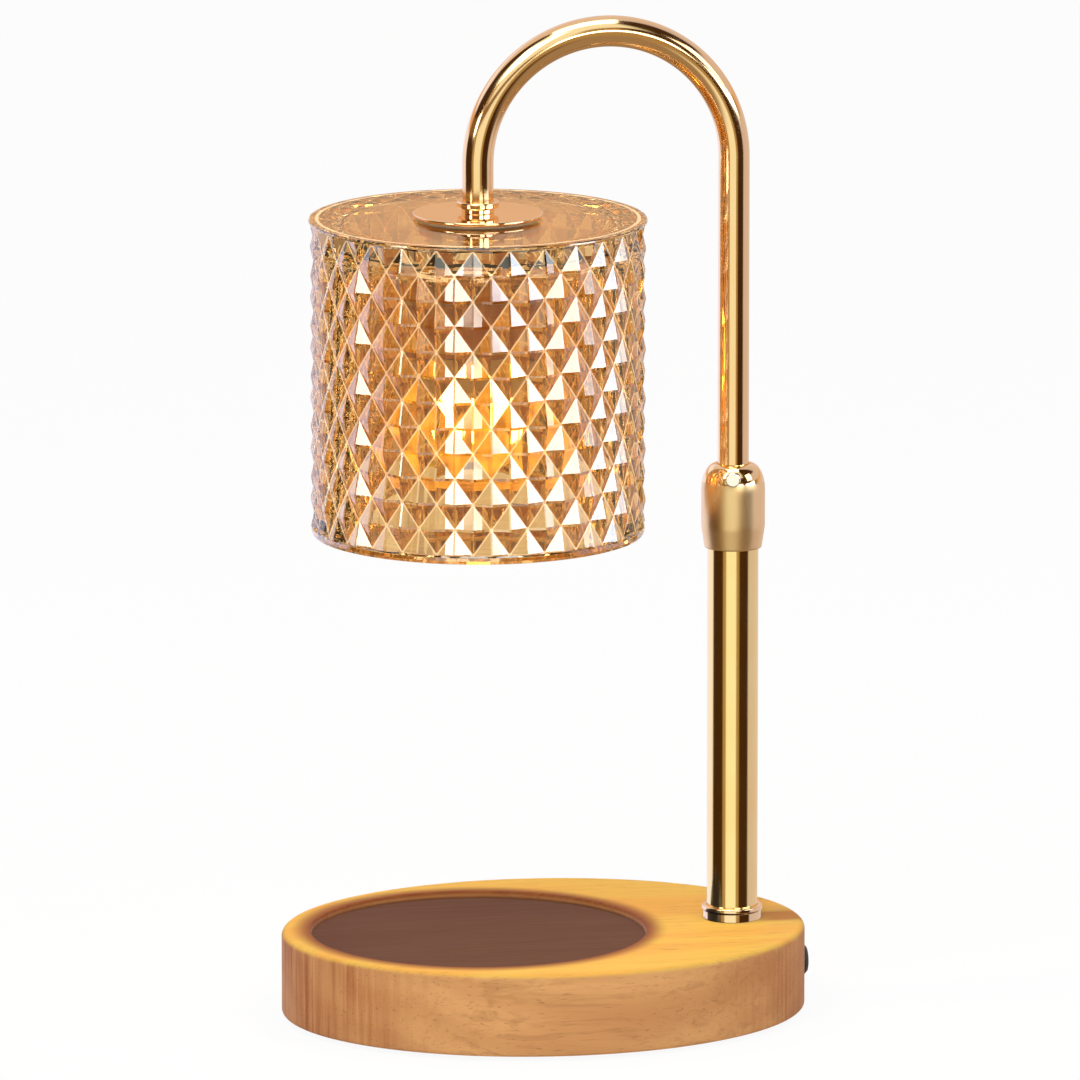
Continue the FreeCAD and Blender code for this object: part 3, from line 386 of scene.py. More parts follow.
@dataclass(frozen=True)
class PolishedBrass:
    """Lacquered brass-coloured plating: nearly a mirror, with faint polishing lines.

    Where satin is above 0, it is the roughness of the metal below a given height.
    """

    name: str
    tint: Colour
    warm: Colour
    roughness: float = 0.11
    satin: float = 0.0
    blend: float = 0.5
    line_depth: float = 0.000004

    def material(self, edge: float = 0.0) -> bpy.types.Material:
        """Returns the material.

        Args:
            edge: height in millimetres above which a satin finish turns bright.
        """
        recipe = Recipe(self.name)
        cloud = recipe.noise(recipe.place(), 38.0, 2.0)
        lines = recipe.flecks((60.0, 60.0, 2600.0), 4.0, 0.6)
        colour = recipe.mix(recipe.span(cloud, 0.35, 0.65), self.tint, self.warm)
        smudge = recipe.noise(recipe.place((1.0, 1.0, 0.4)), 160.0, 3.0)
        rough = recipe.span(smudge, 0.3, 0.7, self.roughness * 0.8, self.roughness * 1.25)
        if self.satin:
            height = recipe.parts(recipe.place())[2]
            more = self.satin - self.roughness
            low = recipe.span(height, edge * MM, (edge + self.blend) * MM, more, 0.0)
            rough = recipe.plus(rough, low)
        return recipe.finish(Base_Color=colour, Metallic=1.0, Roughness=rough,
                             Normal=recipe.bump(lines, self.line_depth, 0.5), Coat_Weight=0.12,
                             Coat_Roughness=0.05)


@dataclass(frozen=True)
class OiledHardwood:
    """Oiled pale hardwood: rings round a far pith, fine pores along X, redder toward the ends.

    The top is a warmer gold than the sides, partly painted lamp light; a ring of painted shade runs round the
    recess, and the recess's floor is painted dark as shade.
    """

    name: str = "oiled_hardwood"
    pale: Colour = (0.70, 0.37, 0.145)
    tan: Colour = (0.55, 0.26, 0.095)
    red: Colour = (0.34, 0.095, 0.028)
    flame: Colour = (0.36, 0.145, 0.052)
    # gold and amber: the top's tones, the wood's colour with painted warm lamp light in it, yellower and brighter
    # than the sides.
    gold: Colour = (0.75, 0.48, 0.085)
    amber: Colour = (0.74, 0.35, 0.065)
    streak_behind_post: Colour = (0.42, 0.115, 0.014)
    # Painted shade, as a ring just outside the recess.
    recess_rim_shade: Colour = (0.20, 0.045, 0.009)
    pore: Colour = (0.22, 0.08, 0.03)
    # Painted shade on the recess's floor, darker and less dark.
    recess_shade_dark: Colour = (0.058, 0.015, 0.007)
    recess_shade: Colour = (0.085, 0.026, 0.012)
    recess_x: float = -0.0235
    recess: float = 0.0595
    to_pith: Triple = (0.0, -0.05, 0.16)
    rings_pace: float = 520.0
    rings_sway: float = 0.055
    pore_depth: float = 0.00006

    def end_grain(self, recipe: Recipe, x: Socket, z: Socket, sway: Socket) -> Socket:
        """Streaks that lean with the rings and darken toward both ends, as a share from 0 to 1."""
        lean = recipe.plus(recipe.times(x, 330.0), recipe.plus(recipe.times(z, 120.0), recipe.times(sway, 9.0)))
        wave = recipe.span(recipe.math("SINE", lean), -1.0, 1.0, 0.65, 1.0)
        upright = recipe.span(recipe.flecks((420.0, 420.0, 14.0), 3.0, 0.6), 0.35, 0.65, 0.35, 1.0)
        streak = recipe.times(wave, upright)
        left = recipe.times(recipe.ease(x, -0.046, -0.084), streak)
        right = recipe.times(recipe.ease(x, 0.045, 0.090, 0.0, 0.85), streak)
        return recipe.plus(left, right)

    def side(self, recipe: Recipe, x: Socket, band: Socket, ends: Socket) -> Socket:
        """Colour of the upright face: rings, red clouds, end grain and long dark grain."""
        cloud = recipe.flecks((5.0, 22.0, 22.0), 2.0)
        colour = recipe.mix(recipe.times(band, 0.40), self.pale, self.tan)
        colour = recipe.mix(recipe.ease(cloud, 0.45, 0.75, 0.0, 0.45), colour, self.red)
        colour = recipe.mix(ends, colour, self.red)
        grain = recipe.span(recipe.flecks((16.0, 300.0, 300.0), 4.0, 0.6, 0.8), 0.50, 0.68, 0.0, 0.42)
        return recipe.mix(recipe.times(grain, recipe.span(x, -0.075, -0.035)), colour, self.flame)

    def top(self, recipe: Recipe, x: Socket, y: Socket, band: Socket, inside: Socket) -> Socket:
        """Colour of the flat top: rings in gold and amber that hold painted warm lamp light as well as the wood's
        own colour, a dark streak from the post toward the right end, and a ring of painted shade round the
        recess.
        """
        colour = recipe.mix(recipe.times(band, 0.55), self.gold, self.amber)
        across = recipe.math("ABSOLUTE", recipe.plus(y, 0.001))
        # A dark streak along X from the post toward the right end.
        streak_behind_post = recipe.times(recipe.ease(across, 0.0095, 0.0045, 0.0, 0.8), recipe.ease(x, 0.070, 0.084))
        colour = recipe.mix(streak_behind_post, colour, self.streak_behind_post)
        # Painted shade: a dark ring just outside the recess's edge, fading outwards.
        ring = recipe.ease(inside, self.recess + 0.0004, self.recess + 0.0085, 1.0, 0.0)
        return recipe.mix(ring, colour, self.recess_rim_shade)

    def material(self) -> bpy.types.Material:
        """Returns the material."""
        recipe = Recipe(self.name)
        x, y, z = recipe.parts(recipe.place())
        sway = recipe.flecks((3.0, 14.0, 14.0), 3.0)
        # The pith is a line along X below the block and behind it.
        _, back, below = recipe.parts(recipe.place(shift=self.to_pith))
        bent = recipe.plus(recipe.reach(back, below), recipe.times(sway, self.rings_sway))
        band = recipe.ease(recipe.math("SINE", recipe.times(bent, self.rings_pace)), -1.0, 1.0)
        fibre = recipe.flecks((26.0, 700.0, 700.0), 5.0, 0.65, 0.4)
        pores = recipe.span(recipe.flecks((70.0, 1300.0, 1300.0), 3.0, 0.55), 0.60, 0.70)
        from_axis = recipe.place((1.0, 1.0, 0.0), (-self.recess_x, 0.0, 0.0))
        inside = recipe.add("ShaderNodeVectorMath", {0: from_axis}, operation="LENGTH").outputs["Value"]
        side = self.side(recipe, x, band, self.end_grain(recipe, x, z, sway))
        top = self.top(recipe, x, y, band, inside)
        colour = recipe.mix(recipe.ease(z, 0.0290, 0.0308), side, top)
        colour = recipe.mix(recipe.span(fibre, 0.35, 0.75, 0.0, 0.30), colour, self.tan)
        colour = recipe.mix(recipe.times(pores, 0.40), colour, self.pore)
        # Painted shade: the recess's floor is darkened almost to brown-black.
        floor = recipe.times(recipe.ease(z, 0.0283, 0.0300, 1.0, 0.0),
                             recipe.span(inside, self.recess, self.recess + 0.001, 1.0, 0.0))
        recess_shade = recipe.mix(recipe.span(fibre, 0.3, 0.7, 0.0, 0.4), self.recess_shade_dark, self.recess_shade)
        colour = recipe.mix(recipe.times(floor, 0.94), colour, recess_shade)
        rough = recipe.span(fibre, 0.3, 0.7, 0.50, 0.64)
        height = recipe.math("SUBTRACT", recipe.times(fibre, 0.5), pores)
        return recipe.finish(Base_Color=colour, Roughness=rough, Specular_IOR_Level=0.16,
                             Normal=recipe.bump(height, self.pore_depth, 0.5))


@dataclass(frozen=True)
class PressedGlass:
    """Pressed glass, slightly wavy from the mould; a painted highlight line runs along its grooves' bottoms.

    The coat is the bright outer skin of the facets, and ends under the flat top. The groove is
    the radius of the grooves' bottoms about the shade's axis, and lit is the strength of a painted
    glow, emission that stands in for the light of the lamp behind the glass.
    """

    name: str
    tint: Colour
    index: float = 1.50
    roughness: float = 0.015
    coat: float = 0.0
    edge: Colour = (1.0, 1.0, 1.0)
    groove: float = 0.0
    lit: float = 0.0
    wave_depth: float = 0.00003
    axis_x: float = -0.0235
    coat_end: Pair = (0.2865, 0.2870)
    groove_highlight: Colour = (1.0, 0.80, 0.52)
    lamp_light: Colour = (1.0, 0.66, 0.13)

    def light_up(self, recipe: Recipe) -> None:
        """Adds a painted glow: uneven emission that stands in for the light of the lamp behind the glass."""
        glint = recipe.span(recipe.noise(recipe.place(), 90.0, 2.0), 0.40, 0.62, 0.15, 1.0)
        recipe.finish(Emission_Color=self.lamp_light, Emission_Strength=recipe.times(glint, self.lit))

    def end_coat_and_paint_groove_highlights(self, recipe: Recipe) -> None:
        """Ends the coat under the flat top and paints a thin highlight line, as emission, along each groove's
        bottom.
        """
        x, y, z = recipe.parts(recipe.place(shift=(-self.axis_x, 0.0, 0.0)))
        coat = recipe.span(z, *self.coat_end, self.coat, 0.0)
        reach = recipe.reach(x, y)
        outside = recipe.span(reach, self.groove + 0.00004, self.groove + 0.00014, 1.0, 0.0)
        # Painted highlight: emission in a thin line along the grooves' bottoms.
        line = recipe.times(outside, recipe.span(reach, self.groove - 0.0012, self.groove - 0.0010))
        recipe.finish(Coat_Weight=coat, Emission_Color=self.groove_highlight,
                      Emission_Strength=recipe.times(line, 0.55))

    def material(self) -> bpy.types.Material:
        """Returns the material."""
        recipe = Recipe(self.name)
        wave = recipe.noise(recipe.place(), 120.0, 2.0)
        deep = tuple(channel * shade for channel, shade in zip(self.tint, (0.98, 0.94, 0.86)))
        colour = recipe.mix(recipe.noise(recipe.place(), 25.0, 2.0), self.tint, deep)
        rough = recipe.span(recipe.noise(recipe.place(), 300.0, 2.0), 0.3, 0.7, self.roughness * 0.5,
                            self.roughness * 1.5)
        recipe.finish(Base_Color=colour, Roughness=rough, IOR=self.index, Transmission_Weight=1.0,
                      Normal=recipe.bump(wave, self.wave_depth, 0.6), Coat_IOR=2.2, Coat_Weight=self.coat,
                      Coat_Tint=self.edge, Specular_Tint=self.edge, Coat_Roughness=0.02)
        if self.lit:
            self.light_up(recipe)
        if self.groove:
            self.end_coat_and_paint_groove_highlights(recipe)
        return recipe.material


@dataclass(frozen=True)
class Moulded:
    """Moulded, pressed or cast matt material with a fine grain."""

    name: str
    colour: Colour
    second: Colour
    roughness: float
    grain: float = 900.0
    metallic: float = 0.0
    relief: float = 0.00003

    def material(self) -> bpy.types.Material:
        """Returns the material."""
        recipe = Recipe(self.name)
        grain = recipe.noise(recipe.place(), self.grain, 4.0, 0.6)
        cloud = recipe.noise(recipe.place(), self.grain / 18.0, 2.0)
        colour = recipe.mix(recipe.span(recipe.plus(grain, cloud), 0.7, 1.3), self.colour, self.second)
        rough = recipe.span(grain, 0.3, 0.7, self.roughness * 0.85, min(1.0, self.roughness * 1.15))
        return recipe.finish(Base_Color=colour, Metallic=self.metallic, Roughness=rough,
                             Normal=recipe.bump(grain, self.relief, 0.6))


@dataclass(frozen=True)
class Glowing:
    """Lit part of the bulb, uneven in colour."""

    name: str
    colour: Colour
    second: Colour
    strength: float
    roughness: float = 0.2

    def material(self) -> bpy.types.Material:
        """Returns the material."""
        recipe = Recipe(self.name)
        spots = recipe.noise(recipe.place(), 140.0, 2.0)
        light = recipe.mix(recipe.span(spots, 0.35, 0.65), self.colour, self.second)
        return recipe.finish(Base_Color=light, Roughness=self.roughness, Emission_Color=light,
                             Emission_Strength=self.strength)


GOLD_ARM = PolishedBrass("plated_arm", (0.98, 0.70, 0.38), (0.96, 0.66, 0.33))
GOLD_POST = PolishedBrass("plated_post", (1.0, 0.78, 0.36), (1.0, 0.74, 0.32))
STEEL_SCREW = PolishedBrass("polished_screw", (1.0, 0.97, 0.90), (0.98, 0.94, 0.86), 0.10)
GOLD_TRIM = PolishedBrass("plated_trim", (0.98, 0.72, 0.42), (0.95, 0.66, 0.34), 0.08)
GOLD_COLLAR = PolishedBrass("satin_collar", (1.0, 0.74, 0.40), (0.96, 0.68, 0.34), 0.08, 0.34)
AMBER = PressedGlass("amber_pressed_glass", (1.0, 0.77, 0.46), coat=1.0, edge=(1.0, 0.96, 0.86),
                     groove=0.0572)
CLEAR = PressedGlass("clear_lens_glass", (1.0, 0.96, 0.88), 1.46, 0.03)
CAPSULE = Glowing("lit_quartz", (1.0, 0.86, 0.60), (1.0, 0.92, 0.72), 24.0)
# The reflector carries a painted glow of the bulb.
DICHROIC = PressedGlass("dichroic_reflector_glass", (1.0, 0.80, 0.42), 1.46, 0.10, lit=0.42)


class PlainFinish(Enum):
    """Finish of each CAD node that keeps its own mesh."""

    COVER = Moulded("pressed_board", (0.035, 0.030, 0.027), (0.055, 0.047, 0.042), 0.75)
    STEEL = Moulded("zinc_steel", (0.62, 0.62, 0.60), (0.50, 0.51, 0.52), 0.32, 400.0, 1.0)
    BALLAST = Moulded("painted_ballast", (0.03, 0.03, 0.032), (0.05, 0.05, 0.052), 0.55, 500.0)
    RUBBER = Moulded("grey_rubber", (0.028, 0.028, 0.028), (0.045, 0.044, 0.043), 0.85)
    BLACK = Moulded("black_nylon", (0.018, 0.017, 0.016), (0.030, 0.029, 0.028), 0.42, 700.0)
    WHITE = Moulded("white_nylon", (0.78, 0.77, 0.73), (0.70, 0.69, 0.65), 0.45, 700.0)
    CERAMIC = Moulded("glazed_ceramic", (0.82, 0.80, 0.74), (0.74, 0.71, 0.64), 0.22, 300.0)
    HOLDER = Moulded("brown_phenolic", (0.60, 0.29, 0.10), (0.48, 0.22, 0.07), 0.35, 500.0)
    BRASS = Moulded("raw_brass", (0.78, 0.52, 0.22), (0.68, 0.43, 0.17), 0.28, 500.0, 1.0)
    SOFT = Moulded("silicone_washer", (0.80, 0.62, 0.42), (0.72, 0.54, 0.34), 0.6)


# Assemblies


def dress(piece: Object, material: bpy.types.Material, body: str, slot: str,
          *nodes: str) -> Object:
    """Gives a piece its material and its place in the assembly.

    Args:
        piece: the new object.
        material: its finish.
        body: CAD body that it moves with.
        slot: the record's material slot; not used.
        nodes: CAD nodes that it stands for.

    Returns:
        The piece.
    """
    piece.data.materials.append(material)
    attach(piece, body)
    if nodes:
        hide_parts(*nodes)
    triangles = sum(len(face.vertices) - 2 for face in piece.data.polygons)
    log.info("%s rides on %s, %d triangles", piece.name, body, triangles)
    return piece


@dataclass
class WoodenBase:
    """Oval hardwood block with a round recess, hollow below."""

    long: float = 93.5
    short: float = 77.0
    foot: float = 1.5
    top: float = 31.0
    top_round: float = 2.0
    foot_round: float = 1.2
    recess_x: float = -23.5
    recess: float = 59.5
    recess_depth: float = 2.6
    recess_round: float = 0.9
    wall: float = 14.0
    ledge: float = 6.0
    ledge_height: float = 2.2
    hollow: float = 18.5
    middle: float = 15.0
    columns: int = 288

    def oval(self, inset: Array) -> Array:
        """Distance from the recess's axis to the oval, pulled in by an inset, in each direction.

        A ray c + r (cos t, sin t) meets the ellipse x^2/a^2 + y^2/b^2 = 1 where
        r = (-B + sqrt(B^2 - A C)) / A with A = cos^2/a^2 + sin^2/b^2, B = c cos/a^2, C = c^2/a^2 - 1.

        Args:
            inset: how far each ring lies inside the block's outline, (rings,).

        Returns:
            Array (rings, columns).
        """
        ring = circle_of(self.columns)
        long, short = (self.long - inset)[:, None], (self.short - inset)[:, None]
        square = ring[:, 0] ** 2 / long ** 2 + ring[:, 1] ** 2 / short ** 2
        slope = self.recess_x * ring[:, 0] / long ** 2
        rest = self.recess_x ** 2 / long ** 2 - 1.0
        return (-slope + np.sqrt(slope ** 2 - square * rest)) / square

    def build(self) -> None:
        """Makes the block from rings about the recess's axis and dresses it."""
        ring = circle_of(self.columns)
        turn = np.linspace(0.0, math.pi / 2, 9)
        foot_arc = self.foot_round * (1.0 - np.sin(turn))
        top_arc = self.top_round * (1.0 - np.cos(turn))
        foot, top, recess, hold = self.foot, self.top, self.recess, 0.5
        ledge_top, ceiling = foot + self.ledge_height, foot + self.hollow
        top_start, floor = top - self.top_round, top - self.recess_depth
        insets = np.concatenate([
            [self.wall, self.wall, self.ledge, self.ledge, self.foot_round + 0.4], foot_arc,
            [0.0, 0.0, 0.0], top_arc, [self.top_round + hold]])
        reach = self.oval(insets)
        share = np.linspace(0.0, 1.0, 10)[1:, None]
        blend = (1.0 - share) * reach[-1][None, :] + share * (recess + self.recess_round + 0.4)
        lip = recess + self.recess_round * (1.0 - np.sin(turn))
        inner = np.array([recess, recess - 0.15, recess - 0.45, recess - 1.0, 50.0, 40.0, 28.0, 14.0, 3.0, 0.0])
        rings = np.vstack([np.zeros((1, self.columns)), reach[:1] * 0.5, reach, blend,
                           np.repeat(np.concatenate([lip, inner])[:, None], self.columns, axis=1)])
        heights = np.concatenate([
            [ceiling, ceiling, ceiling, ledge_top, ledge_top, foot, foot],
            foot + self.foot_round * (1.0 - np.cos(turn)),
            [foot + self.foot_round + hold, self.middle, top_start - hold],
            top_start + self.top_round * np.sin(turn), [top], np.full(len(blend), top),
            top - self.recess_round * (1.0 - np.cos(turn)), [floor + 0.45, floor + 0.15, floor + 0.02],
            [floor] * 7])
        points = hoops(rings, heights, ring, (self.recess_x, 0.0))
        block = mesh_piece("base_block", points.reshape(-1, 3),
                           grid_faces(len(points), self.columns, False, True), 40.0)
        block.visible_glossy = False
        dress(block, OiledHardwood().material(), "base", "wood", "wood_base")


@dataclass
class Post:
    """Lower tube and its trim ring."""

    axis: Pair = (68.5, 0.0)
    foot: float = 31.0
    top: float = 184.8
    radius: float = 9.0
    bore: float = 8.0
    edge: float = 0.3
    ring_step: float = 0.5

    def build(self) -> None:
        """Makes the tube and the ring and dresses them."""
        tube = rounded_profile([(self.bore, self.foot), (self.radius, self.foot),
                                (self.radius, self.top, self.edge), (self.bore, self.top, self.edge)])
        dress(turned_piece("post", tube, self.axis, 128), GOLD_POST.material(), "base", "gold", "post_tube")
        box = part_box("foot_ring")
        low, high = box[0].z / MM, box[1].z / MM
        outer = (box[1].x - box[0].x) / 2 / MM
        inner, waist = self.radius + 0.05, outer - self.ring_step
        ring = rounded_profile([(inner, low), (waist, low, 0.2), (waist, high - 2.0, 0.4),
                                (outer, high - 1.5, 0.4), (outer, high, 0.5), (inner, high, 0.2)])
        dress(turned_piece("post_foot_ring", ring, self.axis, 128), GOLD_TRIM.material(), "base", "gold",
              "foot_ring")


@dataclass
class SwivelCollar:
    """Locking collar with its domed shoulder and the lock screw."""

    axis: Pair = (68.5, 0.0)
    foot: float = 165.8
    top: float = 195.8
    foot_radius: float = 10.2
    wide_radius: float = 11.3
    taper: float = 8.0
    neck_radius: float = 6.3
    dome: float = 9.4
    bore: float = 9.05
    arm_bore: float = 5.6
    step: float = 6.5
    shank: float = 1.5
    head: float = 2.7
    screw_columns: int = 48

    def profile(self) -> Array:
        """Outline: taper, straight belt, quarter-ellipse shoulder, then down the bore."""
        turn = np.linspace(0.0, math.pi / 2, 17)
        spring = self.top - self.dome
        dome = np.stack([self.neck_radius + (self.wide_radius - self.neck_radius) * np.cos(turn),
                         spring + self.dome * np.sin(turn)], axis=1)
        low, wide, foot, step = self.foot_radius, self.wide_radius, self.foot, self.top - self.step
        belt = foot + self.taper
        outer = np.array([[low - 0.25, foot], [low - 0.08, foot + 0.08], [low, foot + 0.3],
                          [low + 0.06, foot + 0.8], [wide - 0.15, belt - 1.2], [wide - 0.02, belt],
                          [wide, belt + 0.8], [wide, spring - 0.4]])
        inner = np.array([[self.arm_bore, self.top], [self.arm_bore, step], [self.bore, step],
                          [self.bore, foot]])
        return np.vstack([outer, dome, inner])

    def screw(self) -> Object:
        """Lock screw: a turned head on a shank, lying in the direction of its CAD node."""
        low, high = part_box("lock_screw")
        middle = (low + high) / 2
        reach = Vector((middle.x / MM - self.axis[0], middle.y / MM, 0.0))
        out = np.array(reach.normalized())
        side = np.array([-out[1], out[0], 0.0])
        up = np.array([0.0, 0.0, 1.0])
        start = np.array([self.axis[0], 0.0, middle.z / MM])
        profile = rounded_profile([(0.0, 5.7), (self.shank, 5.7), (self.shank, 9.5, 0.1),
                                   (self.head, 9.5, 0.1), (self.head, 11.7, 0.55), (0.0, 11.7)], 6, 0.08)
        ring = circle_of(self.screw_columns)
        spin = ring[:, :1] * side[None, :] + ring[:, 1:] * up[None, :]
        points = start + profile[:, None, 1:] * out + profile[:, None, :1] * spin[None, :, :]
        faces = grid_faces(len(profile), self.screw_columns, True, True)
        return mesh_piece("lock_thumb_screw", points.reshape(-1, 3), faces)

    def build(self) -> None:
        """Makes the collar and the screw and dresses them."""
        collar = turned_piece("swivel_collar", self.profile(), self.axis, 128, 50.0)
        dress(collar, GOLD_COLLAR.material(self.top - 6.4), "swivel_head", "gold", "collar")
        dress(self.screw(), STEEL_SCREW.material(), "lock_screw", "gold", "lock_screw")


@dataclass
class HoopedArm:
    """Thin tube that rises from the collar, turns over in a half circle and holds the shade."""

    start_x: float = 68.5
    end_x: float = -23.5
    low: float = 133.8
    spring: float = 306.2
    end: float = 291.6
    radius: float = 5.5
    bore: float = 4.7
    cap_low: float = 289.2
    disc_radius: float = 23.0
    disc_height: float = 1.2

    def path(self) -> Array:
        """Centre line: straight up, half circle about the middle, straight down."""
        span = (self.start_x - self.end_x) / 2
        middle = (self.start_x + self.end_x) / 2
        rise = np.linspace(self.low, self.spring, 24)
        turn = np.linspace(0.0, math.pi, 97)[1:-1]
        fall = np.linspace(self.spring, self.end, 5)
        across = np.concatenate([np.full(len(rise), self.start_x), middle + span * np.cos(turn),
                                 np.full(len(fall), self.end_x)])
        up = np.concatenate([rise, self.spring + span * np.sin(turn), fall])
        return np.stack([across, np.zeros(len(up)), up], axis=1)

    def build(self) -> None:
        """Makes the tube, the two-step nut and the disc, and dresses them."""
        tube = tube_along("hooped_tube", self.path(), self.radius, self.bore, 0.3, 96)
        dress(tube, GOLD_ARM.material(), "arm", "gold", "arm_tube")
        axis = (self.end_x, 0.0)
        low = self.cap_low
        step, top, recess = low + 1.8, low + 4.2, low + 2.4
        nut = rounded_profile([(4.05, low), (5.8, low, 0.15), (5.8, step, 0.2), (7.5, step, 0.5),
                               (7.5, top, 0.6), (5.55, top, 0.1), (5.55, recess), (4.05, recess)])
        dress(turned_piece("two_step_nut", nut, axis), GOLD_TRIM.material(), "arm", "gold", "cap_nut")
        under = low - self.disc_height
        disc = rounded_profile([(4.3, under), (self.disc_radius, under, 0.4), (self.disc_radius, low, 0.4),
                                (4.3, low)])
        dress(turned_piece("shade_disc", disc, axis, 160), GOLD_TRIM.material(), "arm", "gold", "top_disc")


@dataclass
class GlassShade:
    """Pressed drum with diamond points outside, smooth inside, closed by its own flat top."""

    axis: Pair = (-23.5, 0.0)
    foot: float = 174.4
    top: float = 287.2
    rim: float = 59.7
    point: float = 59.3
    valley: float = 57.2
    lip: float = 58.8
    lip_height: float = 3.2
    rim_height: float = 1.6
    inner: float = 52.0
    ceiling: float = 9.0
    corner: float = 5.0
    hole: float = 4.3
    diamonds_round: int = 28
    diamonds_high: int = 6
    chamfer: float = 0.05

    def lattice(self) -> Array:
        """Grid of the faceted belt.

        The belt is cut into half-cells, two columns to a diamond and two levels to a diamond.
        Valley and point nodes alternate over the corners of the half-cells. With u' and v' the
        place in a half-cell, held a chamfer's width off its borders, the height over the valleys
        is |u' - v'| where the lower left corner is a valley and |u' + v' - 1| where it is a
        point, so each diamond is a low pyramid whose upright and level ridges are chamfered.

        Returns:
            Array (rows, columns, 3).
        """
        offsets = np.array([0.0, self.chamfer, 0.5, 1.0 - self.chamfer])
        across = (np.arange(2 * self.diamonds_round)[:, None] + offsets[None, :]).ravel()
        levels = 2 * self.diamonds_high
        up = np.append((np.arange(levels)[:, None] + offsets[None, :]).ravel(), levels - 1e-6)
        row, column = np.meshgrid(up, across, indexing="ij")
        held = [np.clip(value - np.floor(value), self.chamfer, 1.0 - self.chamfer) for value in (column, row)]
        even = (np.floor(row) + np.floor(column)) % 2 == 0
        height = np.where(even, np.abs(held[0] - held[1]), np.abs(held[0] + held[1] - 1.0))
        radius = self.valley + (self.point - self.valley) * height
        turn = column * (TAU / (2 * self.diamonds_round))
        low, high = self.foot + self.lip_height, self.top - self.rim_height
        z = low + (high - low) * row / levels
        return np.stack([radius * np.cos(turn), radius * np.sin(turn), z], axis=2)

    def build(self) -> None:
        """Joins the faceted belt to the rim, the flat top, the hollow and the lip."""
        belt = self.lattice()
        columns = belt.shape[1]
        turn = np.arctan2(belt[0, :, 1], belt[0, :, 0])
        ring = np.stack([np.cos(turn), np.sin(turn)], axis=1)
        quarter = np.linspace(0.0, math.pi / 2, 8)
        rim, top, under, hole = self.rim, self.top, self.top - self.ceiling, self.hole
        inner, lip, foot = self.inner, self.lip, self.foot
        rim_low, lip_top = top - self.rim_height, foot + self.lip_height
        above = np.array([[rim - 0.9, rim_low + 0.05], [rim - 0.2, rim_low + 0.35], [rim, top - 0.9],
                          [rim - 0.12, top - 0.4], [rim - 0.4, top - 0.12], [rim - 0.9, top], [rim - 6.0, top],
                          [40.0, top], [hole + 0.6, top], [hole, top - 0.5]])
        fillet = np.stack([inner - self.corner * (1.0 - np.sin(quarter)),
                           under - self.corner * (1.0 - np.cos(quarter))], axis=1)
        below = np.vstack([[[hole, under + 0.5], [hole + 0.6, under], [30.0, under]], fillet,
                           [[inner, 240.0], [inner, 210.0], [inner, foot + 1.5], [inner + 0.5, foot + 0.4],
                            [inner + 1.6, foot], [lip - 1.6, foot], [lip - 0.4, foot + 0.4],
                            [lip, foot + 1.4], [lip, lip_top - 0.5], [lip - 0.5, lip_top - 0.05]]])
        points = np.concatenate([belt] + [hoops(part[:, 0], part[:, 1], ring) for part in (above, below)])
        points[..., :2] += np.array(self.axis)
        quads = grid_faces(len(points), columns, True, True)
        faces = self.split(quads, len(belt) - 1, columns)
        shade = mesh_piece("diamond_shade", points.reshape(-1, 3), faces, 2.0)
        dress(shade, AMBER.material(), "arm", "amber_glass", "glass_shade")

    def split(self, quads: Array, belt_rows: int, columns: int) -> list[list[int]]:
        """Cuts the belt's quads along the valley-to-valley diagonal of their half-cell.

        Args:
            quads: all quads, row by row.
            belt_rows: rows of quads in the belt.
            columns: quads in a row.

        Returns:
            Triangles of the belt followed by the other quads.
        """
        belt = quads[:belt_rows * columns]
        row = (np.arange(belt_rows) // 4)[:, None]
        column = (np.arange(columns) // 4)[None, :]
        even = ((row + column) % 2 == 0).ravel()
        rising = np.concatenate([belt[even][:, [0, 1, 2]], belt[even][:, [0, 2, 3]]])
        falling = np.concatenate([belt[~even][:, [0, 1, 3]], belt[~even][:, [1, 2, 3]]])
        return rising.tolist() + falling.tolist() + quads[belt_rows * columns:].tolist()


class CadNodes:
    """Finishes of the CAD nodes that keep their own meshes."""

    FINISHES = {
        PlainFinish.COVER: ("bottom_cover",),
        PlainFinish.STEEL: ("cover_screws", "ballast_screws", "post_stud", "post_washer", "post_nut",
                            "snap_ring", "holder_bracket", "holder_screws", "bulb_pins"),
        PlainFinish.BALLAST: ("ballast_plate",),
        PlainFinish.RUBBER: ("rubber_feet",),
        PlainFinish.BLACK: ("cord_gland",),
        PlainFinish.WHITE: ("terminal_block", "collar_bush", "guide_bush"),
        PlainFinish.CERAMIC: ("bulb_base",),
        PlainFinish.HOLDER: ("lamp_holder",),
        PlainFinish.BRASS: ("post_plug", "tube_insert", "nipple", "inner_washer", "lock_nut"),
        PlainFinish.SOFT: ("top_gasket", "inner_gasket"),
    }

    def dress(self, nodes: dict[str, Object]) -> None:
        """Gives each carried-over node its finish.

        Args:
            nodes: CAD nodes by name.
        """
        for finish, names in self.FINISHES.items():
            material = finish.value.material()
            for name in names:
                self.put(nodes[name], material)
        self.put(nodes["bulb_reflector"], DICHROIC.material())
        self.put(nodes["bulb_lens"], CLEAR.material())
        self.put(nodes["bulb_capsule"], CAPSULE.material())

    def put(self, node: Object, material: bpy.types.Material) -> None:
        """Puts a material on a node's only slot."""
        node.data.materials.clear()
        node.data.materials.append(material)


# Studio


SCREEN_POWER = 1.9
FLOOR_WHITE = 0.93


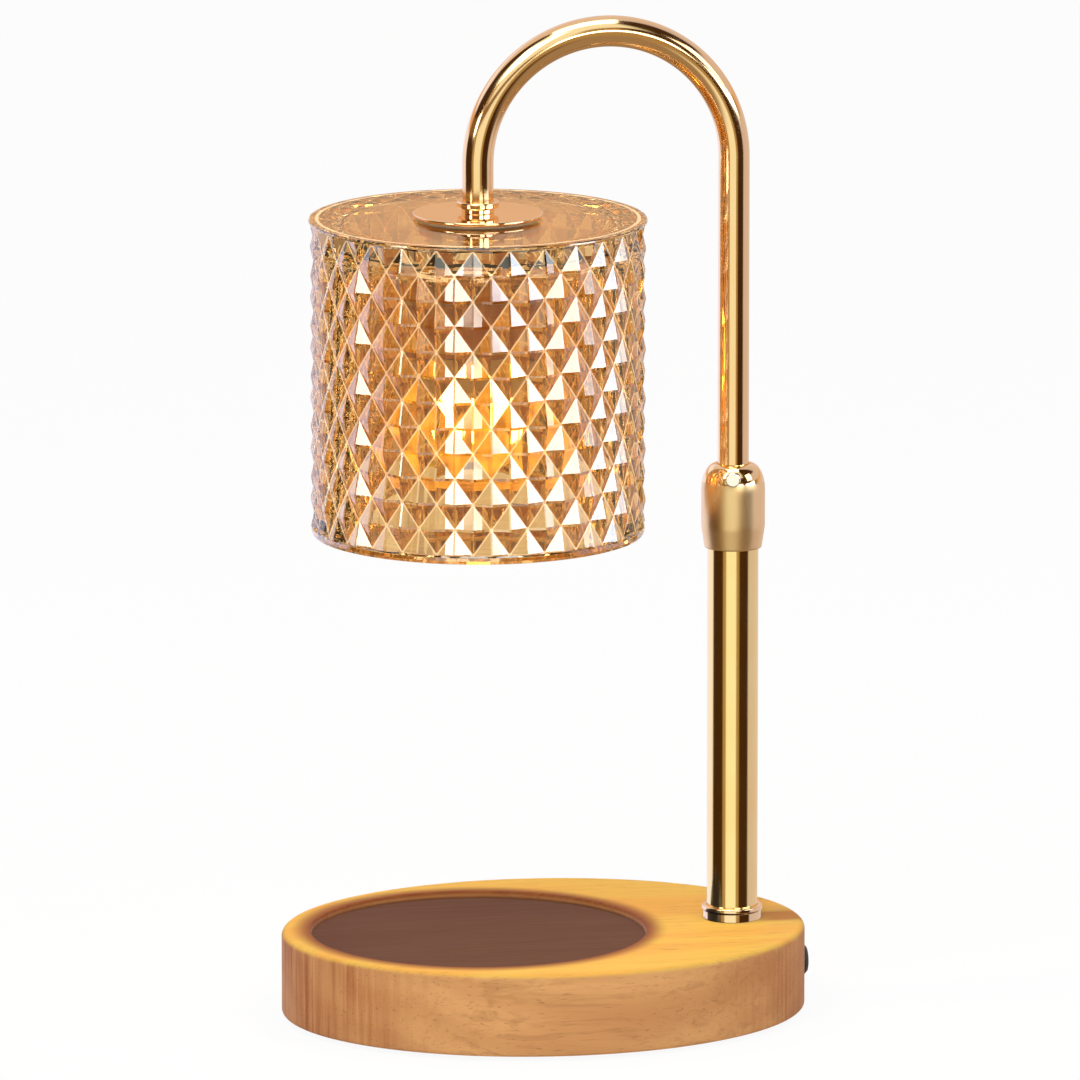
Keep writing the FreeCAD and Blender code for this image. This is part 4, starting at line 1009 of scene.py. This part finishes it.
class Tone(Enum):
    """Colours of the screens and gaps that metal and bright facets see, before SCREEN_POWER."""

    WHITE = (0.53, 0.54, 0.47)
    COOL = (0.53, 0.53, 0.70)
    PINK = (0.42, 0.36, 0.36)
    TAN = (0.35, 0.32, 0.37)
    MIDDLE = (0.23, 0.155, 0.07)
    DARK = (0.030, 0.013, 0.004)
    GROUND = (0.19, 0.135, 0.085)
    SAND = (0.42, 0.27, 0.17)
    BROWN = (0.13, 0.070, 0.030)
    LAMP = (2.8, 2.75, 2.6)
    BLUE_LAMP = (2.3, 2.6, 3.0)


# Degrees round from the camera's side, positive to the right, where each tone starts and ends.
LEVEL_SCREENS = [
    (Tone.PINK, -180), (Tone.COOL, -150, -106), (Tone.DARK, -97, -49), (Tone.MIDDLE, -44, -34),
    (Tone.WHITE, -29, 13), (Tone.MIDDLE, 17, 26), (Tone.DARK, 31, 69), (Tone.TAN, 76), (Tone.PINK, 180)]
RAISED_SCREENS = [
    (Tone.PINK, -180, -112), (Tone.DARK, -100, -66), (Tone.WHITE, -50, 36), (Tone.DARK, 48, 105),
    (Tone.TAN, 120), (Tone.PINK, 180)]
# What faces see that lean back a little, as the upper facets do.
FACET_SCREENS = [
    (Tone.SAND, -180, -110), (Tone.BROWN, -95, -60), (Tone.LAMP, -57, -45), (Tone.BROWN, -42, 12),
    (Tone.LAMP, 15, 35), (Tone.BROWN, 38, 46), (Tone.BLUE_LAMP, 50, 84), (Tone.BROWN, 90),
    (Tone.SAND, 112, 180)]
# Height of the line of sight, from -1 straight down to 1 straight up.
GLASS_SCREENS = [
    (-0.75, (0.36, 0.16, 0.05)), (-0.46, (0.70, 0.50, 0.32)), (-0.31, (1.0, 0.95, 0.88)),
    (-0.275, (0.22, 0.075, 0.012)), (-0.235, (1.0, 0.92, 0.82)), (-0.20, (0.45, 0.19, 0.045)),
    (-0.15, (0.72, 0.42, 0.18)), (-0.11, (0.10, 0.030, 0.006)), (-0.05, (0.55, 0.23, 0.055)),
    (0.04, (0.09, 0.028, 0.005)), (0.12, (0.80, 0.62, 0.46)), (0.50, (0.60, 0.42, 0.28)),
    (0.80, (0.36, 0.19, 0.08))]


def ring_place(degrees: float) -> float:
    """Place of a direction on a ramp that runs once round, with the camera's side at 0.5."""
    return degrees / 360.0 + 0.5


@dataclass
class Studio:
    """Pale floor, white surroundings with screens that metal and glass see, and soft lamps."""

    azimuth: float = -11.3
    elevation: float = 11.46
    distance: float = 5000.0
    lens: float = 471.7
    target: Triple = (-1.25, 0.0, 170.8)
    soft_light: float = 0.55
    bulb: Triple = (-23.5, 0.0, 190.0)

    def toward(self, turn: float, rise: float) -> Vector:
        """Unit vector from the object, by degrees round from the camera's side and above the floor."""
        around, up = math.radians(self.azimuth + turn), math.radians(rise)
        return Vector((math.sin(around) * math.cos(up), -math.cos(around) * math.cos(up), math.sin(up)))

    def camera(self) -> None:
        """Creates the camera on the photograph's line of sight."""
        data = bpy.data.cameras.new("camera")
        data.lens, data.sensor_width, data.clip_end = self.lens, 36.0, 50.0
        camera = bpy.data.objects.new("camera", data)
        back = self.toward(0.0, self.elevation)
        camera.location = Vector(self.target) * MM + back * self.distance * MM
        camera.rotation_euler = back.to_track_quat("Z", "Y").to_euler()
        bpy.context.scene.collection.objects.link(camera)
        bpy.context.scene.camera = camera

    def floor(self) -> None:
        """Wide pale floor, a disc of rings: even white to the camera, clear from below."""
        ring = circle_of(96)
        reach = np.array([0.0, 300.0, 900.0, 2500.0, 7000.0])
        points = hoops(reach, np.zeros(len(reach)), ring)
        faces = grid_faces(len(reach), len(ring), False, True)
        piece = mesh_piece("studio_floor", points.reshape(-1, 3), faces)
        recipe = Recipe("pale_floor")
        speck = recipe.noise(recipe.place(), 30.0, 3.0)
        pale = recipe.mix(speck, (0.90, 0.90, 0.90), (0.93, 0.93, 0.93))
        recipe.finish(Base_Color=pale, Roughness=0.8)
        light = recipe.add("ShaderNodeEmission", {"Color": (1.0, 1.0, 1.0), "Strength": 1.0})
        seen = recipe.times(recipe.add("ShaderNodeLightPath").outputs["Is Camera Ray"], FLOOR_WHITE)
        lit = recipe.add("ShaderNodeMixShader", {0: seen, 1: recipe.shader.outputs[0], 2: light.outputs[0]})
        # The disc's own faces point down, so a ray from below meets their front.
        under = recipe.math("SUBTRACT", 1.0, recipe.add("ShaderNodeNewGeometry").outputs["Backfacing"])
        clear = recipe.add("ShaderNodeBsdfTransparent")
        both = recipe.add("ShaderNodeMixShader", {0: under, 1: lit.outputs[0], 2: clear.outputs[0]})
        recipe.fill(recipe.output, {"Surface": both.outputs[0]})
        piece.data.materials.append(recipe.material)
        piece.visible_glossy = False
        piece.visible_transmission = False

    def seen_by_metal(self, bench: NodeBench, direction: Socket) -> Socket:
        """Rings of screens by direction: level, a band for the facets, raised, and a dark ceiling."""
        turn = math.radians(self.azimuth)
        x, y, z = bench.parts(direction)
        right = bench.plus(bench.times(x, math.cos(turn)), bench.times(y, math.sin(turn)))
        front = bench.math("SUBTRACT", bench.times(x, math.sin(turn)), bench.times(y, math.cos(turn)))
        around = bench.plus(bench.math("DIVIDE", bench.math("ARCTAN2", right, front), TAU), 0.5)
        level, raised, facet = [
            bench.ramp(around, [(ring_place(side), tone.value) for tone, *sides in screens for side in sides])
            for screens in (LEVEL_SCREENS, RAISED_SCREENS, FACET_SCREENS)]
        limit = bench.span(around, ring_place(38.0), ring_place(46.0), 0.250, 0.222)
        below_limit = bench.span(bench.math("SUBTRACT", limit, z), 0.0, 0.006)
        metal = bench.mix(bench.times(bench.span(z, 0.07, 0.10), below_limit), level, facet)
        metal = bench.mix(bench.ease(z, 0.50, 0.60), metal, raised)
        metal = bench.mix(bench.ease(z, 0.955, 0.985), metal, Tone.DARK.value)
        return bench.mix(bench.ease(z, -0.30, -0.55), metal, Tone.GROUND.value)

    def seen_through_glass(self, bench: NodeBench, direction: Socket) -> Socket:
        """Warm screens one above another, whose borders wander as real surroundings do."""
        uneven = bench.times(bench.math("SUBTRACT", bench.noise(direction, 5.0, 2.0), 0.5), 0.5)
        height = bench.plus(bench.parts(direction)[2], uneven)
        return bench.ramp(bench.span(height, -1.0, 1.0), [(0.5 + 0.5 * up, tone) for up, tone in GLASS_SCREENS])

    def surroundings(self) -> None:
        """Sets the world: white to the camera, plain soft light to matt surfaces.

        Polished metal and the facets' bright skin see the rings of screens, and light that
        passes through glass sees the warm ones.
        """
        world = bpy.data.worlds.new("studio")
        bpy.context.scene.world = world
        bench = NodeBench(world)
        direction = bench.add("ShaderNodeTexCoord").outputs["Generated"]
        metal = self.seen_by_metal(bench, direction)
        glass = self.seen_through_glass(bench, direction)
        path = bench.add("ShaderNodeLightPath").outputs
        soft = bench.add("ShaderNodeBackground", {0: (1.0, 0.985, 0.96), 1: self.soft_light}).outputs[0]
        for ray, colour, power in (("Is Glossy Ray", metal, SCREEN_POWER), ("Is Transmission Ray", glass, 1.0),
                                   ("Is Camera Ray", (1.0, 1.0, 1.0), 1.0)):
            ground = bench.add("ShaderNodeBackground", {0: colour, 1: power})
            soft = bench.add("ShaderNodeMixShader", {0: path[ray], 1: soft, 2: ground.outputs[0]}).outputs[0]
        bench.add("ShaderNodeOutputWorld", {0: soft})

    def softbox(self, name: str, turn: float, rise: float, far: float, size: float, power: float) -> None:
        """Square area lamp aimed at the object.

        Args:
            name: lamp's name.
            turn: degrees round from the camera's side, positive to the right.
            rise: degrees above the floor.
            far: distance from the object, metres.
            size: side of the square, metres.
            power: watts.
        """
        data = bpy.data.lights.new(name, "AREA")
        data.energy, data.size = power, size
        lamp = bpy.data.objects.new(name, data)
        back = self.toward(turn, rise)
        lamp.location = Vector((0.0, 0.0, 0.15)) + back * far
        lamp.rotation_euler = back.to_track_quat("Z", "Y").to_euler()
        lamp.visible_camera = False
        bpy.context.scene.collection.objects.link(lamp)

    def glow(self) -> None:
        """Warm lamp in the bulb's mouth, which rides on the arm."""
        data = bpy.data.lights.new("bulb_glow", "POINT")
        data.energy, data.color, data.shadow_soft_size = 0.5, (1.0, 0.72, 0.36), 0.012
        lamp = bpy.data.objects.new("bulb_glow", data)
        lamp.location = Vector(self.bulb) * MM
        lamp.visible_camera = False
        lamp.visible_transmission = False
        lamp.visible_glossy = False
        bpy.context.scene.collection.objects.link(lamp)
        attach(lamp, "arm")

    def build(self) -> None:
        """Sets camera, floor, world and lamps."""
        bpy.context.scene.view_settings.view_transform = "Standard"
        self.camera()
        self.floor()
        self.surroundings()
        self.softbox("key", -28.0, 48.0, 2.2, 1.1, 17.0)
        self.softbox("overhead", 10.0, 84.0, 1.7, 0.9, 8.0)
        self.softbox("side", 70.0, 30.0, 2.4, 0.9, 6.0)
        self.glow()


def main() -> None:
    """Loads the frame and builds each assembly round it."""
    logging.basicConfig(level=logging.INFO, format="%(name)s: %(message)s")
    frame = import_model()
    Studio().build()
    CadNodes().dress(frame["nodes"])
    for assembly in (WoodenBase(), Post(), SwivelCollar(), HoopedArm(), GlassShade()):
        assembly.build()


if __name__ == "__main__":
    main()
